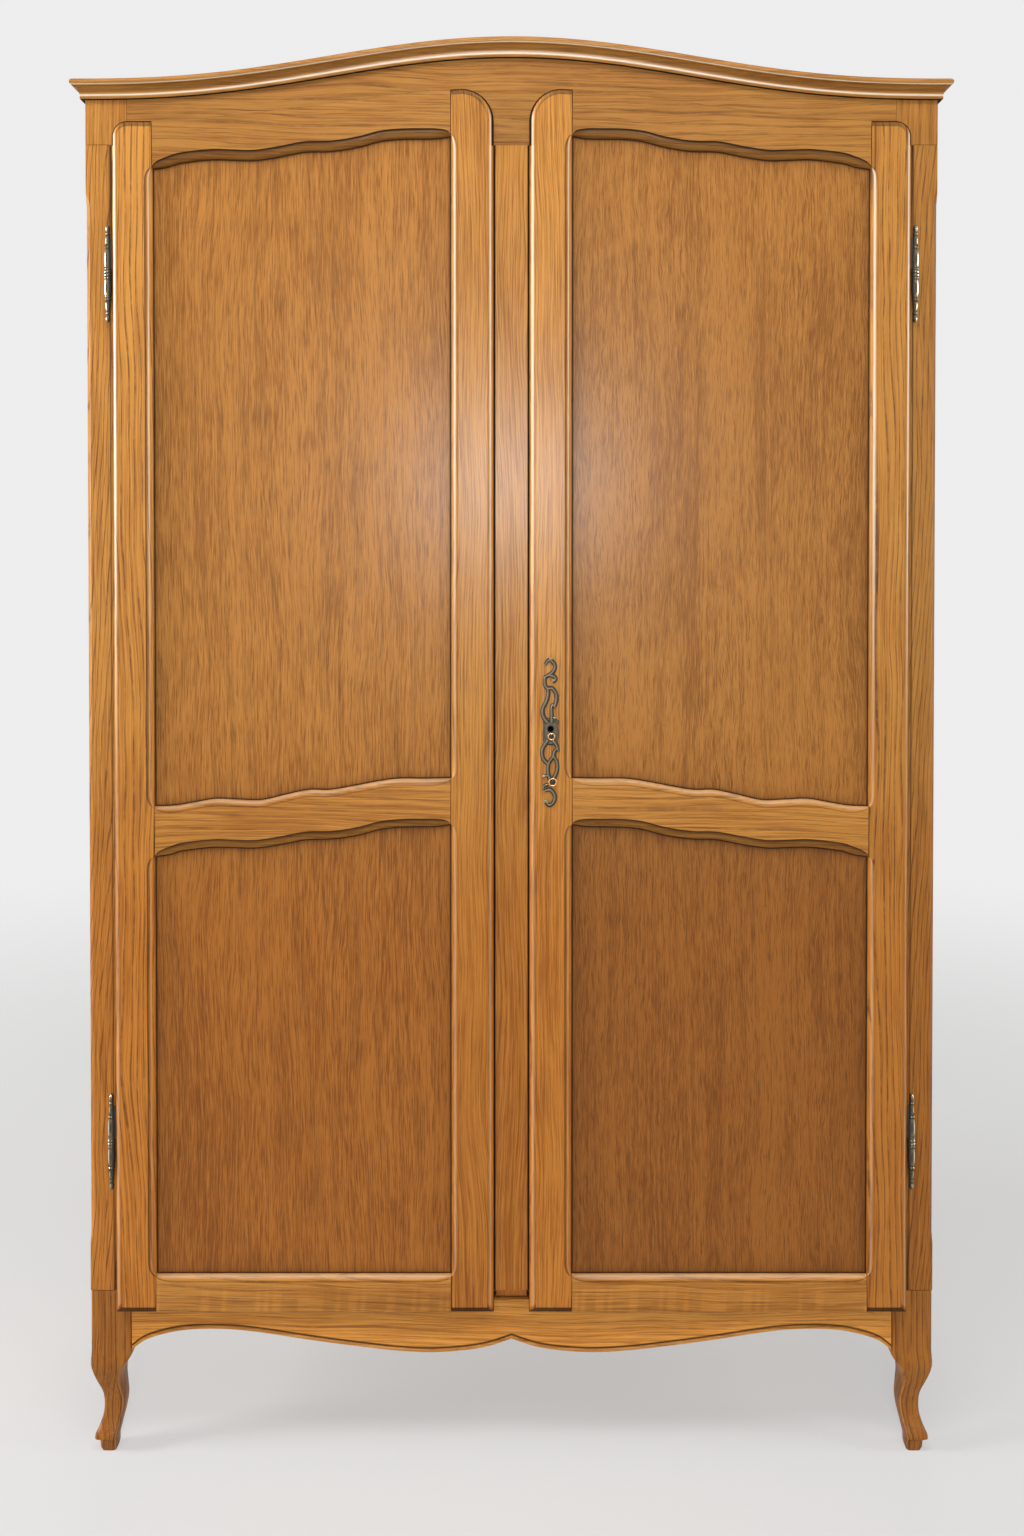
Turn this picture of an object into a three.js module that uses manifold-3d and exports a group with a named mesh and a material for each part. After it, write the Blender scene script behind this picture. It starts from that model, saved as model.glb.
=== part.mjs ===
// A two-door oak wardrobe with an arched cornice, wavy door rails and cabriole feet.
// It comes apart into a base frame, four posts with panels, two doors and a cornice frame.
// Millimetres. X runs to the right, Y to the back and Z up. Y is zero on the front of the posts.
import * as THREE from 'three';
import { mergeVertices } from 'three/addons/utils/BufferGeometryUtils.js';
import Module from 'manifold-3d';

const wasm = await Module();
wasm.setup();

// Whole wardrobe
const bodyWidth = 1225;
const bodyDepth = 560;
const overallHeight = 2050;
const clearance = 0.3;
const overrun = 5;
const weldDistance = 0.0001;

// Arch shared by the cornice and the tops of the doors
const archRise = 60;
const archExponentShare = 2.7;
const archSteps = 24;

// Cornice moulding
const corniceHeight = 27;
const corniceProjection = 18;
const corniceFilletDepth = 6;
const corniceFilletHeight = 3;
const corniceNoseRadius = 5;
const corniceCoveDepth = 6;
const corniceCoveHeight = 13;
const corniceArcSteps = 4;

// Posts and the joints above and below them
const postWidth = 59.5;
const postDepth = 58;
const postBottom = 240;
const topFrameHeight = 91;
const postChamfer = 5.5;
const postChamferEnd = 69;
const postChamferRunout = 16;
const postTenonWidth = 28;
const postTenonDepth = 14;
const postTenonLength = 30;

// Front frame
const frameThickness = 24;
const centreTenonWidth = 45;
const centreTenonDepth = 9;
const centreTenonLength = 12;

// Scalloped apron
const apronLow = 146;
const apronSweep = 35;
const apronSteps = 16;
const apronBeadHeight = 7;
const apronGrooveHeight = 2;
const apronGrooveDepth = 1.6;
const apronBeadSteps = 4;

// Side frames
const sideRailThickness = 24;
const sidePanelThickness = 8;
const sidePanelRecess = 12.5;
const sideGrooveDepth = 10;
const sideMidRailBottom = 1030;
const sideMidRailHeight = 80;
const sideApronLow = 158;
const sideApronSweep = 24;
const sideApronSteps = 10;

// Back, floor and top boards
const backRailThickness = 24;
const backRailBottom = 150;
const backPanelThickness = 8;
const backPanelInset = 4;
const floorThickness = 12;
const floorLedge = 10;
const topBoardThickness = 12;
const topBoardBelowCornice = 24;
const topLedge = 12;

// Legs
const kneeHeight = 150;
const legEase = 3;

// Doors
const doorInner = 25.5;
const doorMargin = 39.5;
const doorBottom = 212;
const doorShoulderDrop = 58;
const doorArchRise = 49.5;
const doorOuterRadius = 23;
const doorInnerRadius = 46;
const doorProud = 13;
const doorTongueDepth = 9;
const doorPlay = 2;
const doorLap = 14;
const doorEdgeRadius = 9;
const doorRailEase = 1.2;
const doorEdgeSteps = 3;
const doorCornerSteps = 6;
const doorTopSteps = 12;
const outerStileWidth = 58.5;
const innerStileWidth = 61.5;
const railTenonLength = 36;
const railTenonShoulder = 14;
const railTenonThickness = 8;

// Panels and the stopped mouldings round them
const panelThickness = 8;
const panelRecess = 9;
const panelGrooveDepth = 7;
const mouldingWidth = 10;
const mouldingWidthBelowRail = 12;
const mouldingWidthAboveRail = 8.5;
const mouldingStep = 1.4;
const mouldingSteps = 3;
const stileStopLength = 20;
const railStopLength = 30;
const waveRise = 30;
const waveSteps = 12;
const topRailDepth = 54.5;
const midRailLowerEdge = 888.6;
const midRailDepth = 69.4;
const bottomRailDepth = 55;

// Hinges
const hingeOffset = 6;
const hingeDepth = 7;
const hingeHeight = 140;
const hingeRadius = 5.4;
const hingePinRadius = 2.2;
const hingeBoreRadius = 2.5;
const hingePinLength = 34;
const hingeBoreLength = 35;
const hingeSegments = 10;
const hingeLeafThickness = 2;
const hingeLeafHeight = 46;
const hingeLeafStart = 6;
const hingeLeafReach = 20;
const upperHingeDrop = 218.5;
const lowerHingeRise = 248.5;

// Lock in the right door and its escutcheon
const keyholeHeight = 1060;
const keyholeRadius = 4.3;
const keySlotWidth = 3.4;
const keySlotLength = 14;
const keyholeSegments = 12;
const lockCaseWidth = 62;
const lockCaseHeight = 96;
const lockCaseDepth = 15;
const lockBoltWidth = 46;
const lockBoltHeight = 24;
const lockBoltThickness = 7;
const lockBoltTravel = 12;
const lockBoltStandoff = 1;
const lockMortiseSpare = 2;
const escutcheonHeight = 216;
const escutcheonWidth = 24;
const escutcheonThickness = 2.2;
const keyholeUpShare = 0.518;
const strokeSteps = 2;
const scrollRoundSegments = 10;
const scrollRingSegments = 16;

// Slide bolt behind the left door
const boltWidth = 8;
const boltThickness = 6;
const boltLength = 96;
const boltAboveShoulder = 18;
const boltTravel = 15;
const boltPlateWidth = 26;
const boltPlateHeight = 84;
const boltPlateThickness = 2;
const boltPlateDrop = 12;
const boltStapleHeight = 9;
const boltStapleWall = 2.5;
const boltKnobRadius = 4;
const boltKnobLength = 9;
const boltKnobSegments = 10;

// Shelf and hanging rail
const hatSpaceHeight = 276;
const shelfThickness = 18;
const shelfFront = 27;
const cleatWidth = 22;
const cleatHeight = 70;
const cleatFront = 20;
const railRadius = 12.5;
const railDrop = 40;
const railSegments = 20;
const railSocketWall = 6;

const halfWidth = bodyWidth / 2;
const postInner = halfWidth - postWidth;
const corniceEndTop = overallHeight - archRise;
const archHalf = halfWidth + corniceProjection;
const postTop = corniceEndTop - topFrameHeight;
const centrePostHalf = doorInner + doorLap;
const apronTop = doorBottom + doorLap;
const doorOuter = halfWidth - doorMargin;
const doorShoulder = corniceEndTop - doorShoulderDrop;
const outerJoint = doorOuter - outerStileWidth;
const innerJoint = doorInner + innerStileWidth;
const topRailEdge = doorShoulder - topRailDepth;
const midRailUpperEdge = midRailLowerEdge + midRailDepth;
const bottomRailEdge = doorBottom + bottomRailDepth;
const lockX = doorInner + innerStileWidth / 2;
const escutcheonBottom = keyholeHeight - keyholeUpShare * escutcheonHeight;
const boltTop = doorShoulder + boltAboveShoulder;
const boltPlateTop = boltTop - boltPlateDrop;
const hingeX = doorOuter + hingeOffset;
const backPostFront = bodyDepth - postDepth;
const backRailFront = bodyDepth - backRailThickness;
const sideRailInner = halfWidth - sideRailThickness;
const sidePanelOuter = halfWidth - sidePanelRecess;
const sidePanelInner = sidePanelOuter - sidePanelThickness;
const backPanelBack = bodyDepth - backPanelInset;
const backPanelFront = backPanelBack - backPanelThickness;
const topBoardBottom = corniceEndTop - topBoardBelowCornice;
const shelfHeight = topBoardBottom - hatSpaceHeight;
const railHeight = shelfHeight - railDrop;
const grooveFront = panelRecess - doorProud;
const grooveBack = grooveFront + panelThickness + 2 * clearance;

// Rise and fall of the door rails, outer stile to inner stile, in shares of the rail's length and waveRise
const lowerEdgeShares = [
  [0, -0.46], [0.05, -0.35], [0.09, -0.18], [0.2, 0], [0.27, -0.02], [0.34, -0.04], [0.42, 0.12],
  [0.51, 0.36], [0.59, 0.39], [0.64, 0.47], [0.7, 0.63], [0.76, 0.86], [0.83, 0.97], [0.95, 1], [1, 1.1],
];
const upperEdgeShares = [
  [0, -0.36], [0.07, -0.32], [0.14, -0.15], [0.205, 0], [0.28, -0.04], [0.36, -0.06], [0.44, 0.2],
  [0.52, 0.43], [0.59, 0.43], [0.67, 0.62], [0.76, 0.86], [0.82, 0.97], [0.92, 0.97], [1, 1],
];
const straightEdgeShares = [[0, 0], [1, 0]];

// Lower edge of the front apron, middle to leg, in shares of its half length and apronSweep
const apronEdgeShares = [
  [0, 0.59], [0.062, 0.27], [0.123, 0.11], [0.209, 0.02], [0.302, 0.09], [0.419, 0.3], [0.536, 0.55],
  [0.651, 0.83], [0.729, 0.97], [0.807, 1], [0.869, 0.94], [0.924, 0.76], [0.97, 0.5], [1, 0.14],
];

// Where the bead along the apron's edge starts and ends, in shares of a full turn
const apronBeadTurnShares = [0.4, 0.75];

// Leg sections from knee to floor: height, then how far the outer, inner, front and back faces draw in
const frontLegShares = [
  [1, 0, 0, 0, 0], [0.93, -0.01, 0.05, -0.03, 0], [0.87, -0.01, 0.18, -0.05, 0.01],
  [0.79, 0.03, 0.27, -0.02, 0.04], [0.69, 0.12, 0.31, 0.04, 0.09], [0.57, 0.23, 0.27, 0.14, 0.16],
  [0.46, 0.26, 0.24, 0.19, 0.2], [0.34, 0.24, 0.28, 0.16, 0.22], [0.23, 0.15, 0.34, 0.05, 0.32],
  [0.15, 0.07, 0.38, -0.06, 0.4], [0.13, 0.16, 0.4, 0.06, 0.42], [0.03, 0.19, 0.41, 0.1, 0.42],
  [0, 0.22, 0.43, 0.13, 0.44],
];
const backLegShares = [
  [1, 0, 0, 0, 0], [0.87, 0, 0.18, 0.12, 0], [0.69, 0.06, 0.3, 0.26, 0], [0.46, 0.16, 0.28, 0.34, 0],
  [0.23, 0.12, 0.32, 0.34, 0], [0, 0.12, 0.36, 0.36, 0],
];

// Turned outline of a hinge from its middle joint to the finial: height and radius
const hingeProfileShares = [
  [0, 1], [0.05, 1], [0.08, 0.8], [0.3, 0.86], [0.5, 0.66], [0.55, 0.84], [0.61, 0.66], [0.66, 0.4],
  [0.74, 0.66], [0.81, 0.34], [0.86, 0.3], [0.92, 0.56], [0.97, 0.42],
];

// Scroll strokes of the escutcheon: across and up in shares of its width and height, then stroke width
const scrollStrokeShares = [
  [[-0.33, 0.949, 0.12], [-0.1, 0.978, 0.15], [0.17, 0.959, 0.16], [0.26, 0.93, 0.16], [0.13, 0.897, 0.16],
    [-0.13, 0.875, 0.16], [-0.35, 0.861, 0.14]],
  [[-0.13, 0.877, 0.14], [0.04, 0.874, 0.15], [0.24, 0.866, 0.16], [0.3, 0.847, 0.15], [0.17, 0.834, 0.14]],
  [[-0.35, 0.861, 0.14], [-0.34, 0.815, 0.16], [-0.19, 0.79, 0.17], [0.1, 0.789, 0.16], [0.3, 0.758, 0.16],
    [0.36, 0.725, 0.16], [0.3, 0.689, 0.15], [0.23, 0.664, 0.14]],
  [[-0.19, 0.79, 0.16], [-0.14, 0.762, 0.16], [-0.19, 0.725, 0.16], [-0.33, 0.684, 0.16],
    [-0.46, 0.655, 0.16], [-0.48, 0.62, 0.17], [-0.38, 0.59, 0.18], [-0.2, 0.565, 0.2]],
  [[0.23, 0.664, 0.14], [0.1, 0.676, 0.14], [0.05, 0.646, 0.14], [0.07, 0.605, 0.16], [0.08, 0.565, 0.2]],
  [[-0.2, 0.436, 0.2], [-0.36, 0.41, 0.17], [-0.5, 0.378, 0.16], [-0.48, 0.333, 0.16], [-0.3, 0.3, 0.17],
    [-0.12, 0.286, 0.17]],
  [[0.2, 0.436, 0.2], [0.38, 0.405, 0.16], [0.45, 0.372, 0.12]],
  [[0.4, 0.392, 0.13], [0.22, 0.364, 0.15], [0.16, 0.335, 0.16], [0, 0.31, 0.15], [-0.12, 0.29, 0.15]],
  [[-0.13, 0.29, 0.16], [-0.16, 0.255, 0.16], [-0.15, 0.225, 0.16], [-0.05, 0.178, 0.18]],
  [[0.16, 0.338, 0.15], [0.32, 0.312, 0.15], [0.41, 0.275, 0.15], [0.36, 0.232, 0.16], [0.14, 0.178, 0.18]],
  [[-0.07, 0.196, 0.12], [-0.24, 0.206, 0.1], [-0.4, 0.204, 0.1]],
  [[-0.2, 0.146, 0.16], [-0.32, 0.142, 0.14], [-0.45, 0.13, 0.1]],
  [[-0.38, 0.106, 0.12], [-0.2, 0.112, 0.15], [-0.02, 0.114, 0.17], [0.18, 0.092, 0.17], [0.26, 0.062, 0.16],
    [0.18, 0.03, 0.16], [-0.04, 0.01, 0.16], [-0.22, 0.02, 0.15], [-0.28, 0.042, 0.14]],
];

// Small rounds of the escutcheon: across, up and radius, all in shares of its width and height
const scrollRoundShares = [
  [0, 0.987, 0.12], [0.16, 0.842, 0.11], [-0.4, 0.204, 0.12], [-0.25, 0.042, 0.13], [0.45, 0.372, 0.09],
];
const scrollRingShares = { across: 0.04, up: 0.155, radius: 0.33, hole: 0.19 };
const platePointShares = [
  [-0.5, 0.566], [-0.3, 0.585], [0.28, 0.585], [0.46, 0.566], [0.36, 0.53], [0.42, 0.49], [0.3, 0.42],
  [-0.3, 0.42], [-0.42, 0.49], [-0.36, 0.53],
];

const wardrobe = new THREE.Group();

// Turning meshes into solids and back

// Positive when the faces of a closed mesh point outwards.
function signedVolume(positions, corners) {
  const [a, b, c] = [new THREE.Vector3(), new THREE.Vector3(), new THREE.Vector3()];
  let volume = 0;
  for (let i = 0; i < corners.length; i += 3) {
    a.fromArray(positions, 3 * corners[i]);
    b.fromArray(positions, 3 * corners[i + 1]);
    c.fromArray(positions, 3 * corners[i + 2]);
    volume += a.dot(b.cross(c));
  }
  return volume;
}

function solidOf(geometry) {
  const bare = geometry.clone();
  bare.deleteAttribute('normal');
  bare.deleteAttribute('uv');
  const merged = mergeVertices(bare, weldDistance);
  const vertProperties = new Float32Array(merged.attributes.position.array);
  const triVerts = new Uint32Array(merged.index.array);
  if (signedVolume(vertProperties, triVerts) < 0) triVerts.reverse();
  return new wasm.Manifold(new wasm.Mesh({ numProp: 3, vertProperties, triVerts }));
}

function geometryOf(solid) {
  const mesh = solid.getMesh();
  const geometry = new THREE.BufferGeometry();
  geometry.setAttribute('position', new THREE.BufferAttribute(mesh.vertProperties, 3));
  geometry.setIndex(new THREE.BufferAttribute(mesh.triVerts, 1));
  return geometry;
}

function mirrored(geometry) {
  const copy = geometry.clone();
  copy.scale(-1, 1, 1);
  const corners = copy.index.array;
  for (let i = 0; i < corners.length; i += 3) {
    [corners[i], corners[i + 1]] = [corners[i + 1], corners[i]];
  }
  return copy;
}

function cut(solid, ...tools) {
  return tools.reduce((rest, tool) => rest.subtract(tool), solid);
}

function join(...solids) {
  return solids.reduce((whole, solid) => whole.add(solid));
}

// Basic forms

function block([x0, x1], [y0, y1], [z0, z1]) {
  const geometry = new THREE.BoxGeometry(x1 - x0, y1 - y0, z1 - z0);
  geometry.translate((x0 + x1) / 2, (y0 + y1) / 2, (z0 + z1) / 2);
  return solidOf(geometry);
}

// Drops points that lie on the straight line between their neighbours.
function withoutStraightPoints(outline) {
  return outline.filter(([x, y], i) => {
    const [px, py] = outline[(i + outline.length - 1) % outline.length];
    const [nx, ny] = outline[(i + 1) % outline.length];
    return Math.abs((x - px) * (ny - py) - (y - py) * (nx - px)) > weldDistance;
  });
}

function extruded(outline, depth) {
  const points = withoutStraightPoints(outline).map(([u, v]) => new THREE.Vector2(u, v));
  return new THREE.ExtrudeGeometry(new THREE.Shape(points), { depth, bevelEnabled: false });
}

// An outline in X and Z with a thickness from front to back.
function upright(outline, [front, back]) {
  const geometry = extruded(outline, back - front);
  geometry.rotateX(Math.PI / 2);
  geometry.translate(0, back, 0);
  return solidOf(geometry);
}

// An outline in X and Y with a thickness from bottom to top.
function flat(outline, [bottom, top]) {
  const geometry = extruded(outline, top - bottom);
  geometry.translate(0, 0, bottom);
  return solidOf(geometry);
}

function middleOf(ring) {
  return [0, 1, 2].map((axis) => ring.reduce((sum, point) => sum + point[axis], 0) / ring.length);
}

// A closed solid through rings of equal numbers of points. Its ends are fans round a hub, which has to see
// the whole ring.
function loft(rings, hubs = [middleOf(rings[0]), middleOf(rings.at(-1))]) {
  const count = rings[0].length;
  const points = rings.flat();
  const corners = [];
  for (let r = 0; r < rings.length - 1; r += 1) {
    for (let i = 0; i < count; i += 1) {
      const [a, b] = [r * count + i, r * count + ((i + 1) % count)];
      corners.push(a, b, b + count, a, b + count, a + count);
    }
  }
  [0, rings.length - 1].forEach((r, end) => {
    const hub = points.push(hubs[end]) - 1;
    for (let i = 0; i < count; i += 1) {
      const [a, b] = [r * count + i, r * count + ((i + 1) % count)];
      corners.push(...(end === 0 ? [hub, b, a] : [hub, a, b]));
    }
  });
  const geometry = new THREE.BufferGeometry();
  geometry.setAttribute('position', new THREE.Float32BufferAttribute(points.flat(), 3));
  geometry.setIndex(corners);
  return solidOf(geometry);
}

function arc([cx, cz], radius, from, to, steps) {
  return Array.from({ length: steps + 1 }, (_, i) => {
    const angle = from + ((to - from) * i) / steps;
    return [cx + radius * Math.cos(angle), cz + radius * Math.sin(angle)];
  });
}

function turned(profile, segments) {
  const geometry = new THREE.LatheGeometry(profile.map(([r, h]) => new THREE.Vector2(r, h)), segments);
  geometry.rotateX(Math.PI / 2);
  return geometry;
}

// A round bar along Y, from front to back.
function crossBar([x, z], radius, [front, back], segments) {
  const geometry = new THREE.CylinderGeometry(radius, radius, back - front, segments);
  geometry.translate(x, (front + back) / 2, z);
  return solidOf(geometry);
}

function evenly(steps) {
  return Array.from({ length: steps + 1 }, (_, i) => i / steps);
}

// A smooth curve through a table of [u, v], read at u.
function smoothed(table, u) {
  const last = table.length - 1;
  let i = 0;
  while (i < last - 1 && u > table[i + 1][0]) i += 1;
  const slope = (k) => {
    const [before, after] = [table[Math.max(k - 1, 0)], table[Math.min(k + 1, last)]];
    return (after[1] - before[1]) / (after[0] - before[0]);
  };
  const [[u0, v0], [u1, v1]] = [table[i], table[i + 1]];
  const span = u1 - u0;
  const t = (u - u0) / span;
  const rise = t * t * (3 - 2 * t);
  const startPull = t * (1 - t) * (1 - t) * span * slope(i);
  const endPull = t * t * (t - 1) * span * slope(i + 1);
  return v0 + (v1 - v0) * rise + startPull + endPull;
}

// Finishes

const finishes = {
  oak: { color: 0xb5793d, roughness: 0.42, metalness: 0 },
  panelOak: { color: 0xa8692f, roughness: 0.45, metalness: 0 },
  insideOak: { color: 0xbf8d55, roughness: 0.7, metalness: 0 },
  brass: { color: 0x8a6f3a, roughness: 0.38, metalness: 1 },
  bronze: { color: 0x4a3c28, roughness: 0.45, metalness: 1 },
  steel: { color: 0x77736c, roughness: 0.4, metalness: 1 },
};

function place(name, geometry, finish) {
  const mesh = new THREE.Mesh(geometry, new THREE.MeshStandardMaterial(finishes[finish]));
  mesh.name = name;
  wardrobe.add(mesh);
}

function placeSolid(name, solid, finish) {
  place(name, geometryOf(solid), finish);
}

// Places a piece of the right side and its mirror image on the left.
function placePair(name, solid, finish) {
  const geometry = geometryOf(solid);
  place(`${name}_right`, geometry, finish);
  place(`${name}_left`, mirrored(geometry), finish);
}

// Arch

function bell(x) {
  return Math.cos((Math.PI / 2) * Math.min(Math.abs(x) / archHalf, 1)) ** archExponentShare;
}

function corniceTopAt(x) {
  return corniceEndTop + archRise * bell(x);
}

// Cornice

// Points [out, up] of the moulding: fillet, cove and rounded nose.
function corniceSection() {
  const coveStart = [corniceFilletDepth, corniceFilletHeight];
  const cove = evenly(corniceArcSteps).map((t) => {
    const angle = (t * Math.PI) / 2;
    return [
      coveStart[0] + corniceCoveDepth * (1 - Math.cos(angle)),
      coveStart[1] + corniceCoveHeight * Math.sin(angle),
    ];
  });
  const noseCentre = [corniceProjection - corniceNoseRadius, corniceHeight - corniceNoseRadius];
  const nose = arc(noseCentre, corniceNoseRadius, -Math.PI / 2, Math.PI / 2, corniceArcSteps);
  return [[clearance, 0], [corniceFilletDepth, 0], ...cove, ...nose, [clearance, corniceHeight]];
}

// A point of the section that sees all of its outline.
const corniceHub = [corniceFilletDepth / 2, corniceHeight - corniceNoseRadius];

function corniceFront() {
  const spot = (x, mitre) => ([out, up]) => {
    const at = x + Math.sign(x) * mitre * out;
    return [at, -out, corniceTopAt(at) - corniceHeight + up];
  };
  const ring = (x, mitre) => corniceSection().map(spot(x, mitre));
  const inner = evenly(archSteps).slice(1, -1).map((t) => ring(halfWidth * (2 * t - 1), 0));
  const hubs = [-halfWidth, halfWidth].map((x) => spot(x, 1)(corniceHub));
  return loft([ring(-halfWidth, 1), ...inner, ring(halfWidth, 1)], hubs);
}

function corniceSide() {
  const mitreGap = clearance * Math.SQRT2;
  const spot = (yAt) => ([out, up]) => [halfWidth + out, yAt(out), corniceEndTop - corniceHeight + up];
  const ends = [spot((out) => mitreGap - out), spot(() => bodyDepth)];
  return loft(ends.map((end) => corniceSection().map(end)), ends.map((end) => end(corniceHub)));
}

// Doors: outlines on the right door, X measured from the middle of the wardrobe

function doorTopAt(x) {
  return doorShoulder + doorArchRise * Math.max(bell(x) - bell(outerJoint), 0);
}

// The top of a door outline from the outer edge round to the inner edge, drawn in by the given insets.
function doorTopLine({ outer, inner, stile, rail }) {
  const outerRadius = doorOuterRadius - stile;
  const innerRadius = doorInnerRadius - stile;
  const outerCentre = doorOuter - outer - outerRadius;
  const innerCentre = doorInner + inner + innerRadius;
  const stepBack = clearance / 4;
  const onStile = (x) => [x, doorTopAt(x) - stile];
  const corner = (x, radius, from) => (
    arc([x, onStile(x)[1] - radius], radius, from, from + Math.PI / 2, doorCornerSteps)
  );
  const railLength = outerJoint - innerJoint;
  return [
    ...corner(outerCentre, outerRadius, 0),
    onStile(outerJoint + stepBack),
    ...evenly(doorTopSteps).map((t) => {
      const x = outerJoint - stepBack - (railLength - 2 * stepBack) * t;
      return [x, doorTopAt(x) - rail];
    }),
    onStile(innerJoint - stepBack),
    ...corner(innerCentre, innerRadius, Math.PI / 2),
  ];
}

function doorRing(y, insets) {
  const bottom = doorBottom + insets.bottom;
  return [
    [doorOuter - insets.outer, bottom],
    ...doorTopLine(insets),
    [doorInner + insets.inner, bottom],
  ].map(([x, z]) => [x, y, z]);
}

function evenInset(inset, rail) {
  return { outer: inset, inner: inset, stile: inset, rail, bottom: inset };
}

// The door before it is cut into stiles and rails: a tongue, a lip and a rounded front edge.
function doorBlank() {
  const lap = doorLap + doorPlay;
  const tongue = { ...evenInset(lap, lap), outer: doorOuter - postInner + doorPlay };
  const rounded = evenly(doorEdgeSteps).map((t) => {
    const angle = (t * Math.PI) / 2;
    const pull = 1 - Math.cos(angle);
    const y = doorEdgeRadius * (1 - Math.sin(angle)) - doorProud;
    return doorRing(y, evenInset(doorEdgeRadius * pull, doorRailEase * pull));
  });
  const lip = doorRing(0, evenInset(0, 0));
  return loft([doorRing(doorTongueDepth, tongue), doorRing(0, tongue), lip, ...rounded]);
}

// Stopped mouldings: each edge point has a place on the sight line and one on the face of the door.

function stopShare(distance, length) {
  const left = 1 - Math.min(distance / length, 1);
  return Math.sqrt(1 - left * left);
}

const stopPointShares = [0, 0.1, 0.35, 0.65, 1];

function stoppedPlaces(length, stopLength, steps) {
  const start = stopPointShares.map((share) => (share * stopLength) / length);
  const middle = evenly(steps).map((t) => start.at(-1) + (1 - 2 * start.at(-1)) * t);
  const end = start.map((u) => 1 - u).reverse();
  return [...start, ...middle.slice(1, -1), ...end];
}

function railEdge({ height, shares, width, side }) {
  const length = outerJoint - innerJoint;
  return stoppedPlaces(length, railStopLength, waveSteps).map((u) => {
    const x = outerJoint - length * u;
    const z = height + waveRise * smoothed(shares, u);
    const fromCorner = length * Math.min(u, 1 - u);
    const reach = side * width * stopShare(fromCorner, railStopLength);
    return { sight: [x, z], face: [x, z + reach] };
  });
}

function stileEdge(x, side, bottom, top) {
  const length = top - bottom;
  return stoppedPlaces(length, stileStopLength, 1).map((t) => {
    const z = bottom + length * t;
    const reach = side * mouldingWidth * stopShare(length * Math.min(t, 1 - t), stileStopLength);
    return { sight: [x, z], face: [x + reach, z] };
  });
}

function openingEdges({ lower, upper }) {
  const below = railEdge({ ...lower, width: mouldingWidthAboveRail, side: -1 });
  const above = railEdge({ ...upper, width: mouldingWidthBelowRail, side: 1 }).reverse();
  const innerSide = stileEdge(innerJoint, -1, below.at(-1).sight[1], above[0].sight[1]);
  const outerSide = stileEdge(outerJoint, 1, below[0].sight[1], above.at(-1).sight[1]).reverse();
  return [...below, ...innerSide.slice(1, -1), ...above, ...outerSide.slice(1, -1)];
}

function openingCutter(edges) {
  const ring = (y, share) => edges.map(({ sight, face }) => [
    sight[0] + (face[0] - sight[0]) * share, y, sight[1] + (face[1] - sight[1]) * share,
  ]);
  const rounded = evenly(mouldingSteps).map((t) => {
    const angle = (t * Math.PI) / 2;
    const depth = mouldingStep + (panelRecess - mouldingStep) * (1 - Math.cos(angle));
    return ring(depth - doorProud, 1 - Math.sin(angle));
  });
  return loft([ring(-doorProud - overrun, 1), ...rounded, ring(doorTongueDepth + overrun, 0)]);
}

// The panel that fills an opening and runs into the grooves by the given reach.
function panelBoard({ lower, upper }, reach, [front, back]) {
  const places = evenly(waveSteps * 2);
  const length = outerJoint - innerJoint;
  const line = ({ height, shares }, side) => places.map((u) => [
    outerJoint - length * u, height + waveRise * smoothed(shares, u) + side * reach,
  ]);
  const widened = (points) => {
    const [first, last] = [points[0], points.at(-1)];
    return [[outerJoint + reach, first[1]], ...points.slice(1, -1), [innerJoint - reach, last[1]]];
  };
  return upright([...widened(line(lower, -1)), ...widened(line(upper, 1)).reverse()], [front, back]);
}

const upperOpening = {
  lower: { height: midRailUpperEdge, shares: upperEdgeShares },
  upper: { height: topRailEdge, shares: lowerEdgeShares },
};
const lowerOpening = {
  lower: { height: bottomRailEdge, shares: straightEdgeShares },
  upper: { height: midRailLowerEdge, shares: lowerEdgeShares },
};

// The two tenons of a rail, grown by a gap when they cut their mortises.
function railTenons(low, high, gap) {
  const halfGap = clearance / 2;
  const [front, back] = [grooveFront + clearance - gap, grooveFront + clearance + railTenonThickness + gap];
  const heights = (end) => [low(end) + railTenonShoulder - gap, high(end) - railTenonShoulder + gap];
  const root = railTenonShoulder / 2;
  return [
    block([outerJoint - root, outerJoint + railTenonLength + gap + halfGap], [front, back], heights(0)),
    block([innerJoint - railTenonLength - gap - halfGap, innerJoint + root], [front, back], heights(1)),
  ];
}

function edgeHeight({ height, shares }) {
  return (end) => height + waveRise * smoothed(shares, end);
}

const doorRails = [
  {
    name: 'rail_top',
    region: [(topRailEdge + midRailUpperEdge) / 2, overallHeight],
    low: edgeHeight(upperOpening.upper),
    high: (end) => doorTopAt(end === 0 ? outerJoint : innerJoint) - doorLap - doorPlay,
  },
  {
    name: 'rail_middle',
    region: [(midRailLowerEdge + bottomRailEdge) / 2, (topRailEdge + midRailUpperEdge) / 2],
    low: edgeHeight(lowerOpening.upper),
    high: edgeHeight(upperOpening.lower),
  },
  {
    name: 'rail_bottom',
    region: [0, (midRailLowerEdge + bottomRailEdge) / 2],
    low: () => doorBottom + doorLap + doorPlay - railTenonShoulder / 2,
    high: edgeHeight(lowerOpening.lower),
  },
];

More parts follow.
